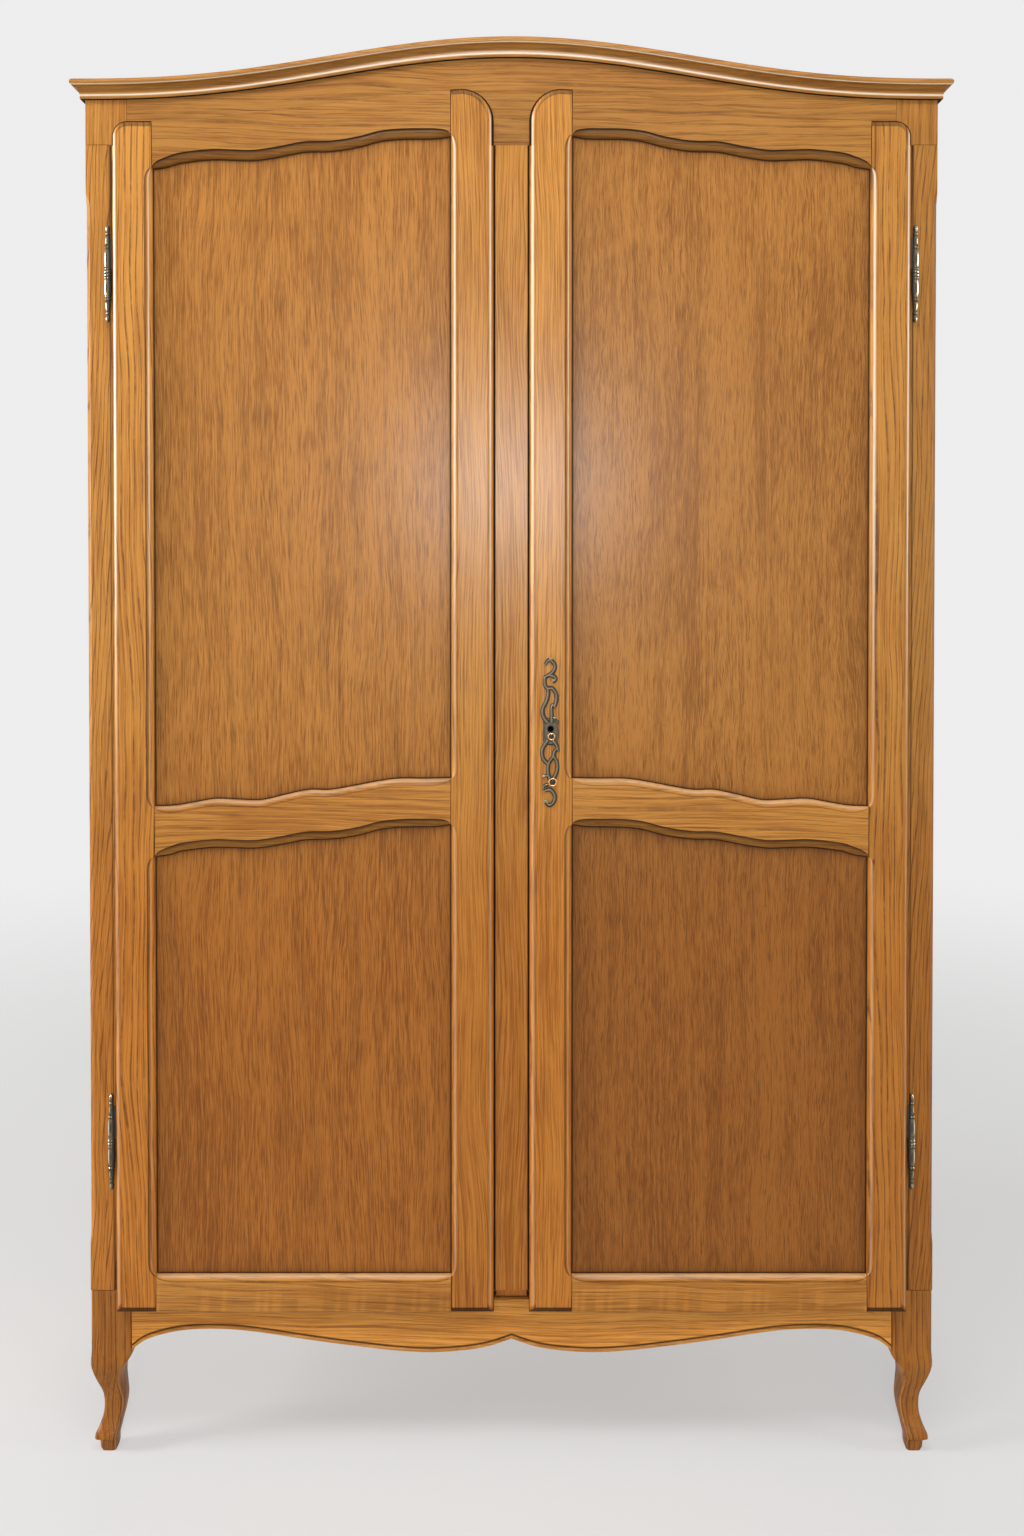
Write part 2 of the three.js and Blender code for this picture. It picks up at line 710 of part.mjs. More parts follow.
function doorPieces() {
  const openings = [upperOpening, lowerOpening];
  const grooveFaces = [grooveFront, grooveBack];
  const grooves = openings.map((opening) => panelBoard(opening, panelGrooveDepth, grooveFaces));
  const cutters = openings.map((opening) => openingCutter(openingEdges(opening)));
  const frame = cut(doorBlank(), ...cutters, ...grooves);
  const halfGap = clearance / 2;
  const thick = [-doorProud - overrun, doorTongueDepth + overrun];
  const mortises = doorRails.flatMap(({ low, high }) => railTenons(low, high, clearance));
  const length = [0, overallHeight];
  const stile = (from, to) => cut(frame.intersect(block([from, to], thick, length)), ...mortises);
  const pieces = {
    stile_outer: stile(outerJoint + halfGap, doorOuter + overrun),
    stile_inner: stile(doorInner - overrun, innerJoint - halfGap),
  };
  doorRails.forEach(({ name, region, low, high }) => {
    const rail = frame.intersect(block([innerJoint + halfGap, outerJoint - halfGap], thick, region));
    pieces[name] = join(rail, ...railTenons(low, high, 0));
  });
  const panelFaces = [grooveFront + clearance, grooveFront + clearance + panelThickness];
  pieces.panel_upper = panelBoard(upperOpening, panelGrooveDepth - clearance, panelFaces);
  pieces.panel_lower = panelBoard(lowerOpening, panelGrooveDepth - clearance, panelFaces);
  return pieces;
}

// Hinges: a turned barrel in two halves on one pin, each with a leaf let into the wood

const hingeMiddles = { upper: doorShoulder - upperHingeDrop, lower: doorBottom + lowerHingeRise };

function hingeOutline() {
  const start = clearance / 2;
  const length = hingeHeight / 2 - start;
  return hingeProfileShares.map(([up, out]) => [out * hingeRadius, start + up * length]);
}

function onHingeAxis(geometry, middle) {
  geometry.translate(hingeX, -hingeDepth, middle);
  return solidOf(geometry);
}

// Lower half: barrel, finial and pin, with a leaf that runs back into the post.
function hingeFrameHalf(middle) {
  const outer = hingeOutline();
  const down = outer.map(([r, h]) => [r, -h]).reverse();
  const base = -clearance / 2;
  const barrel = turned([
    [0, -hingeHeight / 2], ...down,
    [hingePinRadius, base], [hingePinRadius, hingePinLength], [0, hingePinLength],
  ], hingeSegments);
  return join(onHingeAxis(barrel, middle), frameLeaf(middle, 0));
}

// Upper half: barrel and finial with a bore for the pin, and a leaf that runs into the edge of the door.
function hingeDoorHalf(middle) {
  const base = clearance / 2;
  const barrel = turned([
    [0, hingeBoreLength], [hingeBoreRadius, hingeBoreLength], [hingeBoreRadius, base], ...hingeOutline(),
    [0, hingeHeight / 2],
  ], hingeSegments);
  return join(onHingeAxis(barrel, middle), doorLeaf(middle, 0));
}

function frameLeaf(middle, gap) {
  const half = hingeLeafThickness / 2 + gap;
  const start = (hingePinRadius + hingeRadius) / 2;
  return block(
    [hingeX - half, hingeX + half],
    [start - hingeDepth, hingeLeafReach + gap],
    [middle - hingeLeafStart - hingeLeafHeight - gap, middle - hingeLeafStart + gap],
  );
}

function doorLeaf(middle, gap) {
  const half = hingeLeafThickness / 2 + gap;
  const start = (hingeBoreRadius + hingeRadius) / 2;
  return block(
    [doorOuter - hingeLeafReach - gap, hingeX - start],
    [-hingeDepth - half, -hingeDepth + half],
    [middle + hingeLeafStart - gap, middle + hingeLeafStart + hingeLeafHeight + gap],
  );
}

// Escutcheon

function strokeOutline(points) {
  const spine = new THREE.SplineCurve(points.map(([u, v]) => (
    new THREE.Vector2(lockX + u * escutcheonWidth, escutcheonBottom + v * escutcheonHeight)
  )));
  const count = (points.length - 1) * strokeSteps;
  const [left, right] = [[], []];
  evenly(count).forEach((t) => {
    const middle = spine.getPoint(t);
    const along = spine.getTangent(t);
    const at = t * (points.length - 1);
    const k = Math.min(Math.floor(at), points.length - 2);
    const width = points[k][2] + (points[k + 1][2] - points[k][2]) * (at - k);
    const half = (width * escutcheonWidth) / 2;
    left.push([middle.x - along.y * half, middle.y + along.x * half]);
    right.push([middle.x + along.y * half, middle.y - along.x * half]);
  });
  return [...left, ...right.reverse()];
}

function escutcheon() {
  const back = -doorProud - clearance;
  const faces = [back - escutcheonThickness, back];
  const spot = ([u, v]) => [lockX + u * escutcheonWidth, escutcheonBottom + v * escutcheonHeight];
  const strokes = scrollStrokeShares.map((points) => upright(strokeOutline(points), faces));
  const through = [faces[0] - overrun, faces[1] + overrun];
  const rounds = scrollRoundShares.map(([u, v, r]) => (
    crossBar(spot([u, v]), r * escutcheonWidth, faces, scrollRoundSegments)
  ));
  const plate = upright(platePointShares.map(spot), faces);
  const { across, up, radius, hole } = scrollRingShares;
  const ring = cut(
    crossBar(spot([across, up]), radius * escutcheonWidth, faces, scrollRingSegments),
    crossBar(spot([across, up]), hole * escutcheonWidth, through, scrollRoundSegments),
  );
  return cut(join(...strokes, ...rounds, plate, ring), ...keyhole(through));
}

// A round bore with a slot below it, for the key.
function keyhole(depth) {
  const half = keySlotWidth / 2;
  return [
    crossBar([lockX, keyholeHeight], keyholeRadius, depth, keyholeSegments),
    block([lockX - half, lockX + half], depth, [keyholeHeight - keySlotLength, keyholeHeight]),
  ];
}

// Lock: a case behind the inner stile of the right door and a bolt that slides into the centre post

const lockCaseEdge = doorInner + doorLap + doorPlay + clearance;
const lockCaseFront = doorTongueDepth + clearance;
const lockBoltFront = lockCaseFront + (lockCaseDepth - lockBoltThickness) / 2;
const lockBoltHeights = [keyholeHeight - lockBoltHeight - keySlotLength, keyholeHeight - keySlotLength];

const lockBoltEnds = [lockCaseEdge + lockBoltStandoff, lockCaseEdge + lockBoltWidth];

function lockBolt(gap, [from, to]) {
  return block(
    [from, to],
    [lockBoltFront - gap, lockBoltFront + lockBoltThickness + gap],
    [lockBoltHeights[0] - gap, lockBoltHeights[1] + gap],
  );
}

function lockCase() {
  const half = lockCaseHeight / 2;
  const body = block(
    [lockCaseEdge, lockCaseEdge + lockCaseWidth],
    [lockCaseFront, lockCaseFront + lockCaseDepth],
    [keyholeHeight - half, keyholeHeight + half],
  );
  const channelEnd = lockCaseEdge + lockBoltWidth + clearance;
  const channel = lockBolt(clearance, [lockCaseEdge - overrun, channelEnd]);
  return cut(body, channel, ...keyhole([lockCaseFront - overrun, lockCaseFront + lockCaseDepth + overrun]));
}

function lockMortise() {
  const from = centrePostHalf - lockBoltTravel - lockMortiseSpare;
  return lockBolt(clearance, [from, centrePostHalf + overrun]);
}

// Slide bolt: drawn on the right side and mirrored to the left

const boltFront = doorTongueDepth + boltPlateThickness + 2 * clearance;

function slideBolt(gap, [bottom, top]) {
  return block(
    [lockX - boltWidth / 2 - gap, lockX + boltWidth / 2 + gap],
    [boltFront - gap, boltFront + boltThickness + gap],
    [bottom, top],
  );
}

function leftBolt() {
  const middle = boltTop - boltLength / 2 - boltStapleHeight / 2;
  const back = boltFront + boltThickness;
  const knobEnds = [back - boltThickness / 2, back + boltKnobLength];
  const knob = crossBar([lockX, middle], boltKnobRadius, knobEnds, boltKnobSegments);
  return join(slideBolt(0, [boltTop - boltLength, boltTop]), knob);
}

function leftBoltPlate() {
  const front = doorTongueDepth + clearance;
  const across = [lockX - boltPlateWidth / 2, lockX + boltPlateWidth / 2];
  const bottom = boltPlateTop - boltPlateHeight;
  const plate = block(across, [front, front + boltPlateThickness], [bottom, boltPlateTop]);
  const stapleBack = boltFront + boltThickness + clearance + boltStapleWall;
  const staple = (from) => block(across, [front, stapleBack], [from, from + boltStapleHeight]);
  const whole = join(plate, staple(bottom), staple(boltPlateTop - boltStapleHeight));
  return cut(whole, slideBolt(clearance, [bottom - overrun, boltPlateTop + overrun]));
}

function boltMortise() {
  return slideBolt(clearance, [postTop + overrun, boltTop + boltTravel + lockMortiseSpare]);
}

// Front frame above and below the doors

function frieze() {
  const lap = { outer: doorOuter - postInner + clearance, inner: doorLap, stile: doorLap, rail: doorLap };
  const opening = doorTopLine(lap);
  const lugBottom = postTop + clearance;
  const half = [[opening[0][0], corniceTopAt(postInner)], ...opening, [centrePostHalf, lugBottom]];
  const mirror = half.map(([x, z]) => [-x, z]).reverse();
  const inner = evenly(archSteps).slice(1, -1).map((t) => postInner * (2 * t - 1));
  const top = inner.map((x) => [x, corniceTopAt(x)]);
  const board = upright([...half, ...mirror, ...top], [0, frameThickness]);
  const bolt = solidOf(mirrored(geometryOf(boltMortise())));
  return cut(board, centreTenon(1, clearance), bolt);
}

// The tenon at the top (1) or bottom (-1) of the centre post, grown by a gap for its mortise.
function centreTenon(end, gap) {
  const root = end > 0 ? postTop : postBottom;
  const tip = root + end * (centreTenonLength + gap);
  const middle = frameThickness / 2;
  return block(
    [-centreTenonWidth / 2 - gap, centreTenonWidth / 2 + gap],
    [middle - centreTenonDepth / 2 - gap, middle + centreTenonDepth / 2 + gap],
    [Math.min(root - end * overrun, tip), Math.max(root - end * overrun, tip)],
  );
}

function centrePost() {
  const bar = block([-centrePostHalf, centrePostHalf], [0, frameThickness], [postBottom, postTop]);
  return cut(join(bar, centreTenon(1, 0), centreTenon(-1, 0)), lockMortise());
}

function apronFront() {
  const half = postInner - clearance;
  const edgeAt = (x) => apronLow + apronSweep * smoothed(apronEdgeShares, Math.abs(x) / half);
  const section = (x) => {
    const edge = edgeAt(x);
    const radius = apronBeadHeight / 2;
    const [start, end] = apronBeadTurnShares.map((share) => share * 2 * Math.PI);
    const bead = arc([radius, edge + radius], radius, start, end, apronBeadSteps);
    const grooveTop = edge + apronBeadHeight + apronGrooveHeight;
    return [
      [0, apronTop], [0, grooveTop], [apronGrooveDepth, edge + apronBeadHeight], ...bead,
      [frameThickness, edge], [frameThickness, apronTop],
    ].map(([y, z]) => [x, y, z]);
  };
  const sides = evenly(apronSteps).map((t) => t * half);
  const xs = [...sides.slice(1).map((x) => -x).reverse(), ...sides];
  const stub = block(
    [-centrePostHalf, centrePostHalf],
    [0, frameThickness],
    [apronTop - overrun, postBottom - clearance],
  );
  const ledge = block(
    [-halfWidth, halfWidth],
    [frameThickness - floorLedge, frameThickness + overrun],
    [apronTop - floorThickness - clearance, postBottom],
  );
  const hubs = [xs[0], xs.at(-1)].map((x) => [x, frameThickness - floorLedge, edgeAt(x) + apronBeadHeight]);
  const board = loft(xs.map(section), hubs);
  return cut(join(board, stub), cut(ledge, frontLedgeKeep()), centreTenon(-1, clearance));
}

// Where the centre post stands, the apron keeps its full thickness above the floor board.
function frontLedgeKeep() {
  return block([-centrePostHalf, centrePostHalf], [0, frameThickness + overrun], [apronTop, postBottom]);
}

// Posts

// The tenon at the top (1) or bottom (-1) of a post that starts at the given depth.
function postTenon(front, end, gap) {
  const root = end > 0 ? postTop : postBottom;
  const tip = root + end * (postTenonLength + gap);
  const [cx, cy] = [postInner + postWidth / 2, front + postDepth / 2];
  return block(
    [cx - postTenonWidth / 2 - gap, cx + postTenonWidth / 2 + gap],
    [cy - postTenonDepth / 2 - gap, cy + postTenonDepth / 2 + gap],
    [Math.min(root - end * overrun, tip), Math.max(root - end * overrun, tip)],
  );
}

// A wedge along the front outer corner of a post that runs out at both ends.
function cornerChamfer() {
  const ring = (z, size) => [
    [halfWidth - size - overrun, -overrun, z],
    [halfWidth + overrun, -overrun, z],
    [halfWidth + overrun, size + overrun, z],
  ];
  const [bottom, top] = [postBottom + postChamferEnd, postTop - postChamferEnd];
  return loft([
    ring(bottom, 0), ring(bottom + postChamferRunout, postChamfer),
    ring(top - postChamferRunout, postChamfer), ring(top, 0),
  ]);
}

function sidePanelCutter(gap) {
  return block(
    [sidePanelInner - gap, sidePanelOuter + gap],
    [postDepth - sideGrooveDepth, bodyDepth - postDepth + sideGrooveDepth],
    [postBottom - sideGrooveDepth, postTop + sideGrooveDepth],
  );
}

function postBar(front, tenonEnds) {
  const bar = block([postInner, halfWidth], [front, front + postDepth], [postBottom, postTop]);
  return cut(join(bar, ...tenonEnds.map((end) => postTenon(front, end, 0))), sidePanelCutter(clearance));
}

function frontPost() {
  const slots = Object.values(hingeMiddles).map((middle) => frameLeaf(middle, clearance));
  return cut(postBar(0, [-1, 1]), cornerChamfer(), ...slots);
}

function backPost() {
  return cut(postBar(backPostFront, [-1]), backPanelCutter());
}

// Legs

function leg(front, shares) {
  const ring = ([height, outer, inner, forward, backward]) => {
    const [x0, x1] = [postInner + inner * postWidth, halfWidth - outer * postWidth];
    const [y0, y1] = [front + forward * postDepth, front + (1 - backward) * postDepth];
    return [
      [x0 + legEase, y0], [x1 - legEase, y0], [x1, y0 + legEase], [x1, y1 - legEase],
      [x1 - legEase, y1], [x0 + legEase, y1], [x0, y1 - legEase], [x0, y0 + legEase],
    ].map(([x, y]) => [x, y, height * kneeHeight]);
  };
  const shaft = loft(shares.map(ring));
  const top = block(
    [postInner, halfWidth], [front, front + postDepth], [kneeHeight - legEase, postBottom - clearance],
  );
  const mortise = postTenon(front, -1, clearance);
  return cut(join(shaft, top), mortise, sidePanelCutter(clearance), backPanelCutter());
}

// Side frames

function sideApron() {
  const [front, back] = [postDepth + clearance, backPostFront - clearance];
  const ring = (t) => {
    const y = front + (back - front) * t;
    const low = sideApronLow + sideApronSweep * Math.sin(Math.PI * t);
    return [[sideRailInner, low], [halfWidth, low], [halfWidth, postBottom - clearance],
      [sideRailInner, postBottom - clearance]].map(([x, z]) => [x, y, z]);
  };
  return cut(loft(evenly(sideApronSteps).map(ring)), sidePanelCutter(clearance));
}

function topSideRail() {
  const [front, back] = [postDepth + clearance, bodyDepth];
  const rail = block([sideRailInner, halfWidth], [front, back], [postTop + clearance, corniceEndTop]);
  const ledge = block(
    [sideRailInner - overrun, halfWidth - topLedge],
    [0, bodyDepth - topLedge],
    [topBoardBottom, overallHeight],
  );
  return cut(rail, ledge, sidePanelCutter(clearance));
}

function sidePanel() {
  return block(
    [sidePanelInner, sidePanelOuter],
    [postDepth - sideGrooveDepth + clearance, backPostFront + sideGrooveDepth - clearance],
    [postBottom - sideGrooveDepth + clearance, postTop + sideGrooveDepth - clearance],
  );
}

function sideMidRail() {
  return block(
    [sidePanelOuter + clearance, halfWidth],
    [postDepth + clearance, backPostFront - clearance],
    [sideMidRailBottom, sideMidRailBottom + sideMidRailHeight],
  );
}

function topCorner() {
  const stub = block([postInner, halfWidth], [0, postDepth], [postTop + clearance, corniceEndTop]);
  return cut(stub, postTenon(0, 1, clearance), sidePanelCutter(clearance));
}

// Back, floor and top

function backPanelCutter() {
  const reach = postInner + sideGrooveDepth;
  return block(
    [-reach, reach],
    [backPanelFront - clearance, backPanelBack + clearance],
    [postBottom - sideGrooveDepth, postTop + sideGrooveDepth],
  );
}

function backPanel() {
  const reach = postInner + sideGrooveDepth - clearance;
  return block(
    [-reach, reach],
    [backPanelFront, backPanelBack],
    [postBottom - sideGrooveDepth + clearance, postTop + sideGrooveDepth - clearance],
  );
}

function baseBackRail() {
  const half = postInner - clearance;
  const rail = block([-half, half], [backRailFront, bodyDepth], [backRailBottom, postBottom - clearance]);
  const ledge = block(
    [-halfWidth, halfWidth],
    [backRailFront - overrun, backRailFront + floorLedge],
    [apronTop - floorThickness - clearance, postBottom],
  );
  return cut(rail, ledge, backPanelCutter());
}

function topBackRail() {
  const half = sideRailInner - clearance;
  const rail = block([-half, half], [backRailFront, bodyDepth], [postTop + clearance, corniceEndTop]);
  const ledge = block(
    [-halfWidth, halfWidth], [0, bodyDepth - topLedge], [topBoardBottom, overallHeight],
  );
  return cut(rail, ledge, backPanelCutter());
}

// A board that fills the inside and is notched round the corner posts.
function notchedBoard({ half, notchHalf, front, back, notchFront, notchBack }, heights) {
  const side = [
    [notchHalf, front], [notchHalf, notchFront], [half, notchFront],
    [half, notchBack], [notchHalf, notchBack], [notchHalf, back],
  ];
  return flat([...side, ...side.map(([x, y]) => [-x, y]).reverse()], heights);
}

function floorBoard() {
  return notchedBoard({
    half: sideRailInner - clearance,
    notchHalf: postInner - clearance,
    front: frameThickness - floorLedge + clearance,
    back: backRailFront + floorLedge - clearance,
    notchFront: postDepth + clearance,
    notchBack: backPostFront - clearance,
  }, [apronTop - floorThickness, apronTop]);
}

function topBoard() {
  const back = bodyDepth - topLedge - clearance;
  return notchedBoard({
    half: halfWidth - topLedge - clearance,
    notchHalf: postInner - clearance,
    front: frameThickness + clearance,
    back,
    notchFront: postDepth + clearance,
    notchBack: back,
  }, [topBoardBottom + clearance, topBoardBottom + clearance + topBoardThickness]);
}

// Inside fittings

function hatShelf() {
  return notchedBoard({
    half: sidePanelInner - clearance,
    notchHalf: postInner - clearance,
    front: shelfFront,
    back: backPanelFront - clearance,
    notchFront: postDepth + clearance,
    notchBack: backPostFront - clearance,
  }, [shelfHeight, shelfHeight + shelfThickness]);
}

// A cleat screwed to the posts that carries the shelf and holds one end of the hanging rail.
function shelfCleat() {
  const outer = postInner - clearance;
  const top = shelfHeight - clearance;
  const length = [cleatFront, backPanelFront - clearance];
  const bar = block([outer - cleatWidth, outer], length, [top - cleatHeight, top]);
  const middle = (backPanelFront + frameThickness) / 2;
  const reach = railRadius + clearance;
  const bowl = new THREE.CylinderGeometry(reach, reach, cleatWidth, railSegments);
  bowl.rotateZ(Math.PI / 2);
  bowl.translate(outer - railSocketWall - cleatWidth / 2, middle, railHeight);
  const slot = block(
    [outer - railSocketWall - cleatWidth, outer - railSocketWall], [middle - reach, middle + reach],
    [railHeight, shelfHeight + overrun],
  );
  return cut(bar, solidOf(bowl), slot);
}

function hangingRail() {
  const length = 2 * (postInner - railSocketWall - 2 * clearance);
  const rail = new THREE.CylinderGeometry(railRadius, railRadius, length, railSegments);
  rail.rotateZ(Math.PI / 2);
  rail.translate(0, (backPanelFront + frameThickness) / 2, railHeight);
  return solidOf(rail);
}

// Assembly

placeSolid('cornice_front', corniceFront(), 'oak');
placePair('cornice_side', corniceSide(), 'oak');
placeSolid('frieze', frieze(), 'oak');
placePair('top_corner', topCorner(), 'oak');
placePair('top_side_rail', topSideRail(), 'oak');
placeSolid('top_back_rail', topBackRail(), 'insideOak');
placeSolid('top_board', topBoard(), 'insideOak');
placePair('front_post', frontPost(), 'oak');
placePair('back_post', backPost(), 'oak');
placePair('side_panel', sidePanel(), 'panelOak');
placePair('side_mid_rail', sideMidRail(), 'oak');
placeSolid('centre_post', centrePost(), 'oak');
placeSolid('back_panel', backPanel(), 'insideOak');
placePair('front_leg', leg(0, frontLegShares), 'oak');
placePair('back_leg', leg(backPostFront, backLegShares), 'oak');
placeSolid('front_apron', apronFront(), 'oak');
placePair('side_apron', sideApron(), 'oak');
placeSolid('base_back_rail', baseBackRail(), 'insideOak');
placeSolid('floor_board', floorBoard(), 'insideOak');
placeSolid('hat_shelf', hatShelf(), 'insideOak');
placePair('shelf_cleat', shelfCleat(), 'insideOak');
placeSolid('hanging_rail', hangingRail(), 'insideOak');

const pieces = doorPieces();
const leafSlots = Object.values(hingeMiddles).map((middle) => doorLeaf(middle, clearance));
pieces.stile_outer = cut(pieces.stile_outer, ...leafSlots);
Object.entries(pieces).forEach(([name, solid]) => {
  const isPanel = name.startsWith('panel');
  const finish = isPanel ? 'panelOak' : 'oak';
  place(`left_${name}`, mirrored(geometryOf(solid)), finish);
  const isLocked = name === 'stile_inner';
  const through = [-doorProud - overrun, doorTongueDepth + overrun];
  const bored = isLocked ? cut(solid, ...keyhole(through)) : solid;
  placeSolid(`right_${name}`, bored, finish);
});

Object.entries(hingeMiddles).forEach(([level, middle]) => {
  placePair(`${level}_hinge_frame_half`, hingeFrameHalf(middle), 'brass');
  placePair(`${level}_hinge_door_half`, hingeDoorHalf(middle), 'brass');
});

placeSolid('escutcheon', escutcheon(), 'bronze');
placeSolid('lock_case', lockCase(), 'steel');
placeSolid('lock_bolt', lockBolt(0, lockBoltEnds), 'steel');
place('left_bolt', mirrored(geometryOf(leftBolt())), 'steel');
place('left_bolt_plate', mirrored(geometryOf(leftBoltPlate())), 'steel');

// The origin lies on the floor under the middle of the whole wardrobe.
const part = new THREE.Group();
wardrobe.position.y = (corniceProjection - bodyDepth) / 2;
part.add(wardrobe);

export default part;
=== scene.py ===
"""The looks of a two-door oak wardrobe with an arched cornice, built round its fixed frame of solids."""

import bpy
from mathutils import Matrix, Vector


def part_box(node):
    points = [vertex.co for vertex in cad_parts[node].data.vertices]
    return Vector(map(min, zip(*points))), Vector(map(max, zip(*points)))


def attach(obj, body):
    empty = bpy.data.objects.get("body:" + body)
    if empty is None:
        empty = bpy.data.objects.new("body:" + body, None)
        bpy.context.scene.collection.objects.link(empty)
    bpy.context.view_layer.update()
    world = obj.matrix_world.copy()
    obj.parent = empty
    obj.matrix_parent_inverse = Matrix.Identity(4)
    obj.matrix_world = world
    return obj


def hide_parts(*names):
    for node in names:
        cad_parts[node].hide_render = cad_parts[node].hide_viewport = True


bl_info = {
    "name": "Arched Oak Wardrobe",
    "version": (1, 0, 0),
    "blender": (4, 5, 0),
    "location": "View3D > Sidebar > Wardrobe",
    "description": "Dresses the solids of an arched two-door oak wardrobe",
    "category": "Object",
}

import math
from collections import namedtuple

import bmesh
import bpy
from mathutils import Matrix, Vector

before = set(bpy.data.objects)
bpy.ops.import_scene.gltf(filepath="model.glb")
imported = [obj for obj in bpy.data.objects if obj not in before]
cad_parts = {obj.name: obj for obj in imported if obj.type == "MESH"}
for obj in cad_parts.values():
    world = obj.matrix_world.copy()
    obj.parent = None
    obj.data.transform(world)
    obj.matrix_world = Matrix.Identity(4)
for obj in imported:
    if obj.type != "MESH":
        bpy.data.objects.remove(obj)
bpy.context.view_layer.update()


# Places read from the frame, in metres


def low(node):
    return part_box(node)[0]


def high(node):
    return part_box(node)[1]


HALF_GAP = 0.00015
POST_FACE = low("front_post_right").y
HALF_WIDTH = high("front_post_right").x
POST_INNER = low("front_post_right").x
POST_BOTTOM = high("front_leg_right").z
ARCH_HALF = high("cornice_front").x
CORNICE_TOP = high("cornice_side_right").z
CORNICE_BOTTOM = low("cornice_side_right").z
CORNICE_FRONT = low("cornice_front").y
CORNICE_BACK = high("cornice_side_right").y
ARCH_RISE = high("cornice_front").z - CORNICE_TOP
DOOR_FRONT = low("right_stile_outer").y
DOOR_BACK = high("right_stile_outer").y
DOOR_BOTTOM = low("right_stile_outer").z
DOOR_OUTER = high("right_stile_outer").x
DOOR_INNER = low("right_stile_inner").x
OUTER_JOINT = low("right_stile_outer").x - HALF_GAP
INNER_JOINT = high("right_stile_inner").x + HALF_GAP
JOINT_SPAN = OUTER_JOINT - INNER_JOINT
PANEL_FRONT = low("right_panel_upper").y
PANEL_BACK = high("right_panel_upper").y
APRON_LOW = low("front_apron").z
APRON_TOP = high("floor_board").z
APRON_BACK = POST_FACE + 0.024
APRON_HALF = high("front_apron").x

WELD = 0.000002

# How dark or pale a place is painted: 1 is black, with old wax and with painted shade and shadow, 0 is
# clean and -1 is a pale, glossy painted highlight
DIRT_AND_SHADING = "Stain"

# Rise of the door rails' edges from the outer stile to the inner one: shares of the rail and of the wave
LOWER_EDGE_SHARES = (
    (0, -0.46), (0.05, -0.35), (0.09, -0.18), (0.2, 0), (0.27, -0.02), (0.34, -0.04), (0.42, 0.12),
    (0.51, 0.36), (0.59, 0.39), (0.64, 0.47), (0.7, 0.63), (0.76, 0.86), (0.83, 0.97), (0.95, 1), (1, 1.1),
)
UPPER_EDGE_SHARES = (
    (0, -0.36), (0.07, -0.32), (0.14, -0.15), (0.205, 0), (0.28, -0.04), (0.36, -0.06), (0.44, 0.2),
    (0.52, 0.43), (0.59, 0.43), (0.67, 0.62), (0.76, 0.86), (0.82, 0.97), (0.92, 0.97), (1, 1),
)
LEVEL_SHARES = ((0, 0), (1, 0))

# Lower edge of the apron from its middle to the leg: shares of its half length and of its sweep
APRON_EDGE_SHARES = (
    (0, 0.59), (0.062, 0.27), (0.123, 0.11), (0.209, 0.02), (0.302, 0.09), (0.419, 0.3), (0.536, 0.55),
    (0.651, 0.83), (0.729, 0.97), (0.807, 1), (0.869, 0.94), (0.924, 0.76), (0.97, 0.5), (1, 0.14),
)

# Front leg from floor to knee: height, then how far its outer, inner, front and back faces draw in
FRONT_LEG_SHARES = (
    (0, 0.22, 0.43, 0.13, 0.44), (0.03, 0.19, 0.41, 0.1, 0.42), (0.13, 0.16, 0.4, 0.06, 0.42),
    (0.15, 0.07, 0.38, -0.06, 0.4), (0.23, 0.15, 0.34, 0.05, 0.32), (0.34, 0.24, 0.28, 0.16, 0.22),
    (0.46, 0.26, 0.24, 0.19, 0.2), (0.57, 0.23, 0.27, 0.14, 0.16), (0.69, 0.12, 0.31, 0.04, 0.09),
    (0.79, 0.03, 0.27, -0.02, 0.04), (0.87, -0.01, 0.18, -0.05, 0.01), (0.93, -0.01, 0.05, -0.03, 0),
    (1, 0, 0, 0, 0), (1.1, 0, 0, 0, 0), (1.6, 0, 0, 0, 0),
)
BACK_LEG_SHARES = (
    (0, 0.12, 0.36, 0.36, 0), (0.23, 0.12, 0.32, 0.34, 0), (0.46, 0.16, 0.28, 0.34, 0),
    (0.69, 0.06, 0.3, 0.26, 0), (0.87, 0, 0.18, 0.12, 0), (1, 0, 0, 0, 0), (1.1, 0, 0, 0, 0),
    (1.6, 0, 0, 0, 0),
)


# Sizes and colours


def length(name, default, description):
    return bpy.props.FloatProperty(
        name=name, default=default, description=description, unit="LENGTH", precision=4, min=0
    )


def proportion(name, default, description):
    return bpy.props.FloatProperty(
        name=name, default=default, description=description, subtype="FACTOR", min=0, max=4
    )


def colour(name, default, description):
    return bpy.props.FloatVectorProperty(
        name=name, default=default, description=description, subtype="COLOR", size=3, min=0, max=1
    )


